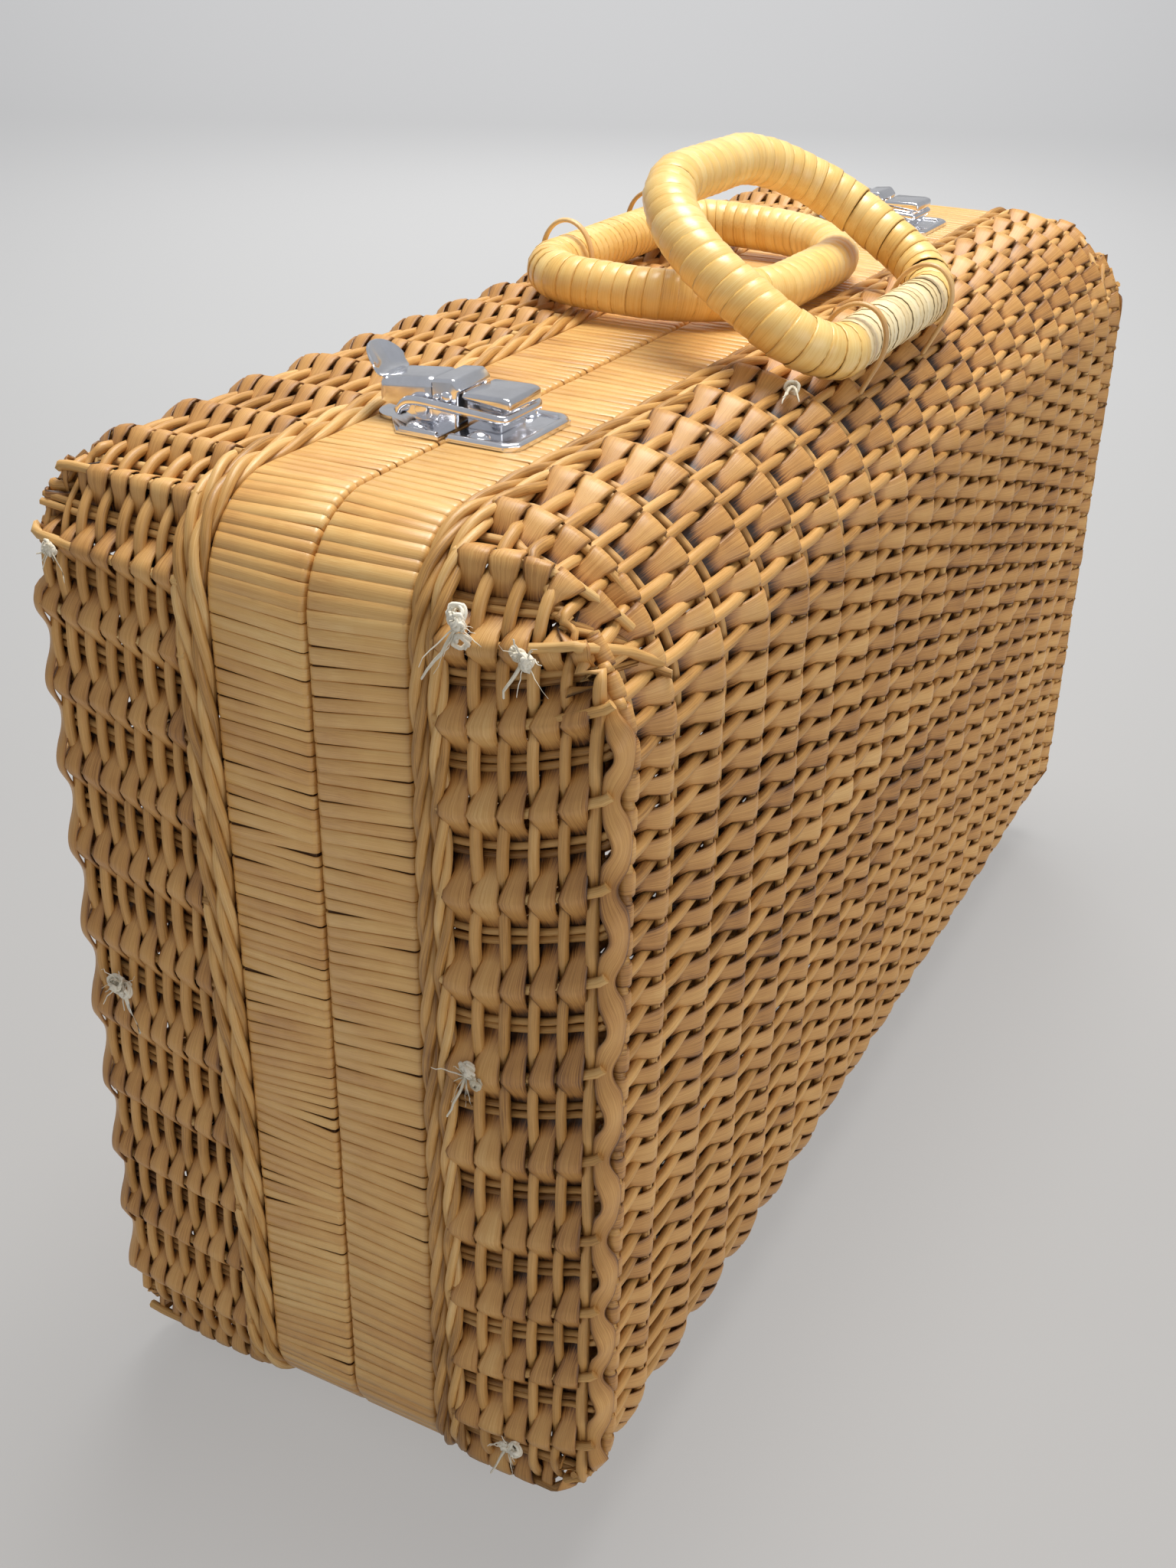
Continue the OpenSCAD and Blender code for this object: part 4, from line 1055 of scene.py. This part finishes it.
def bail_wire(end):
    """The bail's wire, up from its pivot on one side, round under the hook's lip and back."""
    side = [(BAIL_HALF, y, z) for y, z in BAIL_LINE]
    y, z = BAIL_FRONT
    corner = [(BAIL_HALF, y + BAIL_BEND, z + 0.1), (BAIL_HALF - 0.3, y + 1.0, z + 0.03), (BAIL_HALF - 1.0, y + 0.3, z),
              (BAIL_HALF - BAIL_BEND, y, z)]
    half = np.array([(BAIL_HALF - 2.6, 16.4, 3.5)] + side + corner[1:])
    line = np.vstack([half, (half * (-1, 1, 1))[::-1]])
    for _ in range(2):
        line = np.vstack([line[:1], np.stack([0.75 * line[:-1] + 0.25 * line[1:], 0.25 * line[:-1] + 0.75 * line[1:]], 1).reshape(-1, 3), line[-1:]])
    return Strand(line + (latch_middle(end), 0, BAND_TOP), (0.02, 0.05, 1.0), 1.0)


def thumb_tab(end):
    """The round dished tab that stands up from the lever's end on a short neck."""
    solid = bmesh.new()
    rows, across = 18, 9
    steps = np.linspace(0, TAB_REACH, rows)
    turned = np.radians(TAB_TURN) * np.clip((steps - 2.0) / 4.0, 0, 1)
    y = TAB_ROOT + np.concatenate([[0], np.cumsum(np.cos(turned[1:]) * np.diff(steps))])
    z = TAB_FOOT + np.concatenate([[0], np.cumsum(np.sin(turned[1:]) * np.diff(steps))])
    from_tip = TAB_REACH - steps
    disc = np.sqrt(np.maximum(TAB_R ** 2 - (from_tip - TAB_R) ** 2, 0))
    half = np.where(from_tip > TAB_R, np.maximum(disc, TAB_NECK), np.maximum(disc, 0.6))
    half = np.where(steps < 2.0, LEVER_HALF - LEVER_ROLL, half)
    grid = []
    for k in range(rows):
        n = np.array([-math.sin(turned[k]), math.cos(turned[k])])
        row = []
        for u in np.linspace(-1, 1, across):
            dish = 1.5 * (u * half[k] / TAB_R) ** 2 * np.clip((steps[k] - 2.5) / 3, 0, 1)
            row.append(solid.verts.new((latch_middle(end) + u * half[k], y[k] + n[0] * dish, BAND_TOP + z[k] + n[1] * dish)))
        grid.append(row)
    for a, b in zip(grid[:-1], grid[1:]):
        for i in range(across - 1):
            solid.faces.new((a[i], a[i + 1], b[i + 1], b[i]))
    bmesh.ops.recalc_face_normals(solid, faces=solid.faces)
    if sum(f.normal.z for f in solid.faces) < 0:
        bmesh.ops.reverse_faces(solid, faces=solid.faces)
    return solid


def keeper(end):
    """Keeper sheet with its block and the sloped hook that the bail pulls on."""
    solid = bmesh.new()
    x = latch_middle(end)
    flat = [(-PLATE_HALF, -1.0), (PLATE_HALF, -1.0), (PLATE_HALF, KEEPER_CUT - KEEPER_LEN),
            (PLATE_HALF - KEEPER_CUT, -KEEPER_LEN), (KEEPER_CUT - PLATE_HALF, -KEEPER_LEN),
            (-PLATE_HALF, KEEPER_CUT - KEEPER_LEN)]
    rings = [[solid.verts.new((x + u, y, BAND_TOP + z)) for u, y in flat] for z in (0.0, PLATE_T)]
    sheet = [solid.faces.new(rings[0]), solid.faces.new(rings[1][::-1])]
    for k in range(len(flat)):
        j = (k + 1) % len(flat)
        sheet.append(solid.faces.new((rings[0][j], rings[0][k], rings[1][k], rings[1][j])))
    bmesh.ops.recalc_face_normals(solid, faces=sheet)
    bmesh.ops.bevel(solid, geom=list(rings[1][0].link_faces[0].edges), offset=0.3, segments=3, profile=0.5, affect="EDGES")
    for side, half_width, roll in ((BLOCK, BLOCK_HALF, 0.5), (HOOK, HOOK_HALF, 0.95)):
        edges = side_prism(solid, [(y, BAND_TOP + z) for y, z in side], half_width, x)
        bmesh.ops.bevel(solid, geom=edges, offset=roll, segments=4, profile=0.5, affect="EDGES")
    dome(solid, end, "keeper")
    return solid


def rolled_border(x, corners):
    """A rolled rim round three sides of a latch sheet, from corner to corner, with short bends."""
    line = [np.array([x + u, y, BAND_TOP + PLATE_T]) for u, y in corners]
    path = [line[0]]
    for a, b, c in zip(line[:-2], line[1:-1], line[2:]):
        for t in (0.0, 0.25, 0.5, 0.75, 1.0):
            start, stop = b + (a - b) / np.linalg.norm(a - b) * 0.9, b + (c - b) / np.linalg.norm(c - b) * 0.9
            path.append(start * (1 - t) ** 2 + b * 2 * t * (1 - t) + stop * t ** 2)
    path.append(line[-1])
    return Strand(np.array(path), (0, 0, 1), 1.0)


for end in ("near", "far"):
    x = latch_middle(end)
    metal_piece(end + "_chrome_lever", lever_channel(end), CHROME, end + "_lever", end + "_latch_lever", LEVER_SHEET)
    metal_piece(end + "_chrome_tab", thumb_tab(end), CHROME, end + "_lever", None, 1.0, 1)
    metal_piece(end + "_chrome_nose", lever_nose(end), CHROME, "rear_shell", None, NOSE_SHEET)
    metal_piece(end + "_chrome_keeper", keeper(end), CHROME, "front_shell", end + "_latch_keeper")
    strands(end + "_chrome_bail", [bail_wire(end)], 0.85, 1.15, CHROME, end + "_bail", (end + "_latch_bail",), sides=14)
    inset = 1.25
    edge = PLATE_HALF - inset
    corners = [(-edge, -1.6), (-edge, KEEPER_CUT - KEEPER_LEN + 0.4), (KEEPER_CUT - edge - 0.3, inset - KEEPER_LEN),
               (edge - KEEPER_CUT + 0.3, inset - KEEPER_LEN), (edge, KEEPER_CUT - KEEPER_LEN + 0.4), (edge, -1.6)]
    strands(end + "_chrome_keeper_rim", [rolled_border(x, corners)], 1.4, 0.9, CHROME, "front_shell", sides=12)

for name in BODY_OF:
    chrome = "latch" in name
    pressed(name, CHROME if chrome else STEEL, 0.25 if chrome else 0.2)
for name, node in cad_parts.items():
    if "core" in name or "hoop" in name:
        node.data.materials.clear()
        node.data.materials.append(WOOD)


# Studio


def studio():
    """Pale sweep under and behind the case; seen by camera and glossy rays it has painted shade, darker near the case
    and towards the sides.
    """
    width, back, r = 60.0, 2.6, 1.2
    profile = [(-60.0, 0.0), (back, 0.0)]
    profile += [(back + r * math.sin(a), r - r * math.cos(a)) for a in np.linspace(0.1, math.pi / 2, 14)]
    profile += [(back + r, 5.0)]
    turn = math.radians(62.78)
    ahead, across = np.array([math.sin(turn), math.cos(turn)]), np.array([math.cos(turn), -math.sin(turn)])
    verts, faces = [], []
    for d, z in profile:
        for w in (-width, width):
            x, y = ahead * d + across * w
            verts.append((x, y, z))
    for k in range(len(profile) - 1):
        faces.append((2 * k, 2 * k + 1, 2 * k + 3, 2 * k + 2))
    mesh = bpy.data.meshes.new("studio_sweep")
    mesh.from_pydata(verts, [], faces)
    mesh.polygons.foreach_set("use_smooth", [True] * len(faces))
    floor = bpy.data.objects.new("studio_sweep", mesh)
    scene.collection.objects.link(floor)
    f = Finish("Studio paper")
    f.shader.inputs["Base Color"].default_value = (0.5, 0.5, 0.5, 1)
    f.shader.inputs["Roughness"].default_value = 0.9
    place = f.add("ShaderNodeTexCoord")
    along, aside = (f.add("ShaderNodeVectorMath", operation="DOT_PRODUCT") for _ in range(2))
    for node, way in ((along, (ahead[0], ahead[1], 0)), (aside, (across[0], across[1], 0))):
        f.link(place.outputs["Object"], node.inputs[0])
        node.inputs[1].default_value = way
    # Painted shadow: the paper's glow is darker near the case and lighter far behind it.
    depth = f.math("DIVIDE", f.math("ADD", along.outputs["Value"], 0.5), 5.0)
    shade = f.ramp(depth, [(0.0, (0.50, 0.48, 0.46, 1)), (0.14, (0.56, 0.55, 0.54, 1)), (0.3, (0.68, 0.68, 0.68, 1)),
                           (0.9, (0.86, 0.86, 0.87, 1))])
    # Painted falloff of light: the glow is a little darker towards the sides.
    off = f.math("DIVIDE", aside.outputs["Value"], f.math("MAXIMUM", f.math("ADD", along.outputs["Value"], 1.1), 0.6))
    fade = f.math("MAXIMUM", f.math("SUBTRACT", 1.0, f.math("MULTIPLY", f.math("MULTIPLY", off, off), 1.6)), 0.8)
    glow, mix = f.add("ShaderNodeEmission"), f.add("ShaderNodeMixShader")
    f.link(shade, glow.inputs["Color"])
    f.link(fade, glow.inputs["Strength"])
    ray = f.add("ShaderNodeLightPath")
    seen = f.math("MAXIMUM", ray.outputs["Is Camera Ray"], f.math("MULTIPLY", ray.outputs["Is Glossy Ray"], 0.65))
    f.link(f.math("MULTIPLY", seen, 0.7), mix.inputs[0])
    f.link(f.shader.outputs[0], mix.inputs[1])
    f.link(glow.outputs[0], mix.inputs[2])
    f.link(mix.outputs[0], f.nodes["Material Output"].inputs["Surface"])
    f.mat.cycles.emission_sampling = "NONE"
    mesh.materials.append(f.mat)


def lamp(name, place, target, size, power, colour=(1, 1, 1), mirrored=True):
    data = bpy.data.lights.new(name, "AREA")
    data.shape, data.size, data.energy, data.color = "DISK", size, power, colour
    light = bpy.data.objects.new(name, data)
    scene.collection.objects.link(light)
    light.location = place
    aim = np.array(target) - np.array(place)
    light.rotation_mode = "QUATERNION"
    light.rotation_quaternion = Vector(aim).to_track_quat("-Z", "Y")
    light.visible_glossy = mirrored


def camera():
    """The photograph's camera, fitted to the case's seam, bands and outline."""
    yaw, pitch, roll = (math.radians(v) for v in (62.78, 28.418, 1.134))
    ahead = Vector((math.sin(yaw) * math.cos(pitch), math.cos(yaw) * math.cos(pitch), -math.sin(pitch)))
    right = Vector((math.cos(yaw), -math.sin(yaw), 0))
    up = right.cross(ahead)
    right, up = right * math.cos(roll) + up * math.sin(roll), up * math.cos(roll) - right * math.sin(roll)
    data = bpy.data.cameras.new("camera")
    data.sensor_width, data.lens = 36.0, 36.0 * 2266.47 / 2048
    data.clip_start, data.clip_end = 0.01, 100.0
    cam = bpy.data.objects.new("camera", data)
    scene.collection.objects.link(cam)
    turn = Matrix((right, up, -ahead)).transposed().to_4x4()
    cam.matrix_world = Matrix.Translation((-0.5085, -0.2165, 0.4082)) @ turn
    scene.camera = cam


studio()
camera()
lamp("overhead", (0.25, 0.0, 1.7), (0, 0, 0.15), 0.9, 29.0, (1.0, 0.985, 0.95))
lamp("back_window", (1.7, 0.9, 1.15), (0, 0, 0.2), 1.2, 22.0, (1.0, 0.99, 0.97), mirrored=False)
lamp("front_fill", (-0.5, -2.0, 0.5), (0, 0, 0.12), 1.6, 11.5)
world = bpy.data.worlds.new("Studio air")
world.use_nodes = True
world.node_tree.nodes["Background"].inputs["Color"].default_value = (0.93, 0.95, 1.0, 1)
world.node_tree.nodes["Background"].inputs["Strength"].default_value = 0.43
scene.world = world
scene.view_settings.view_transform = "Standard"
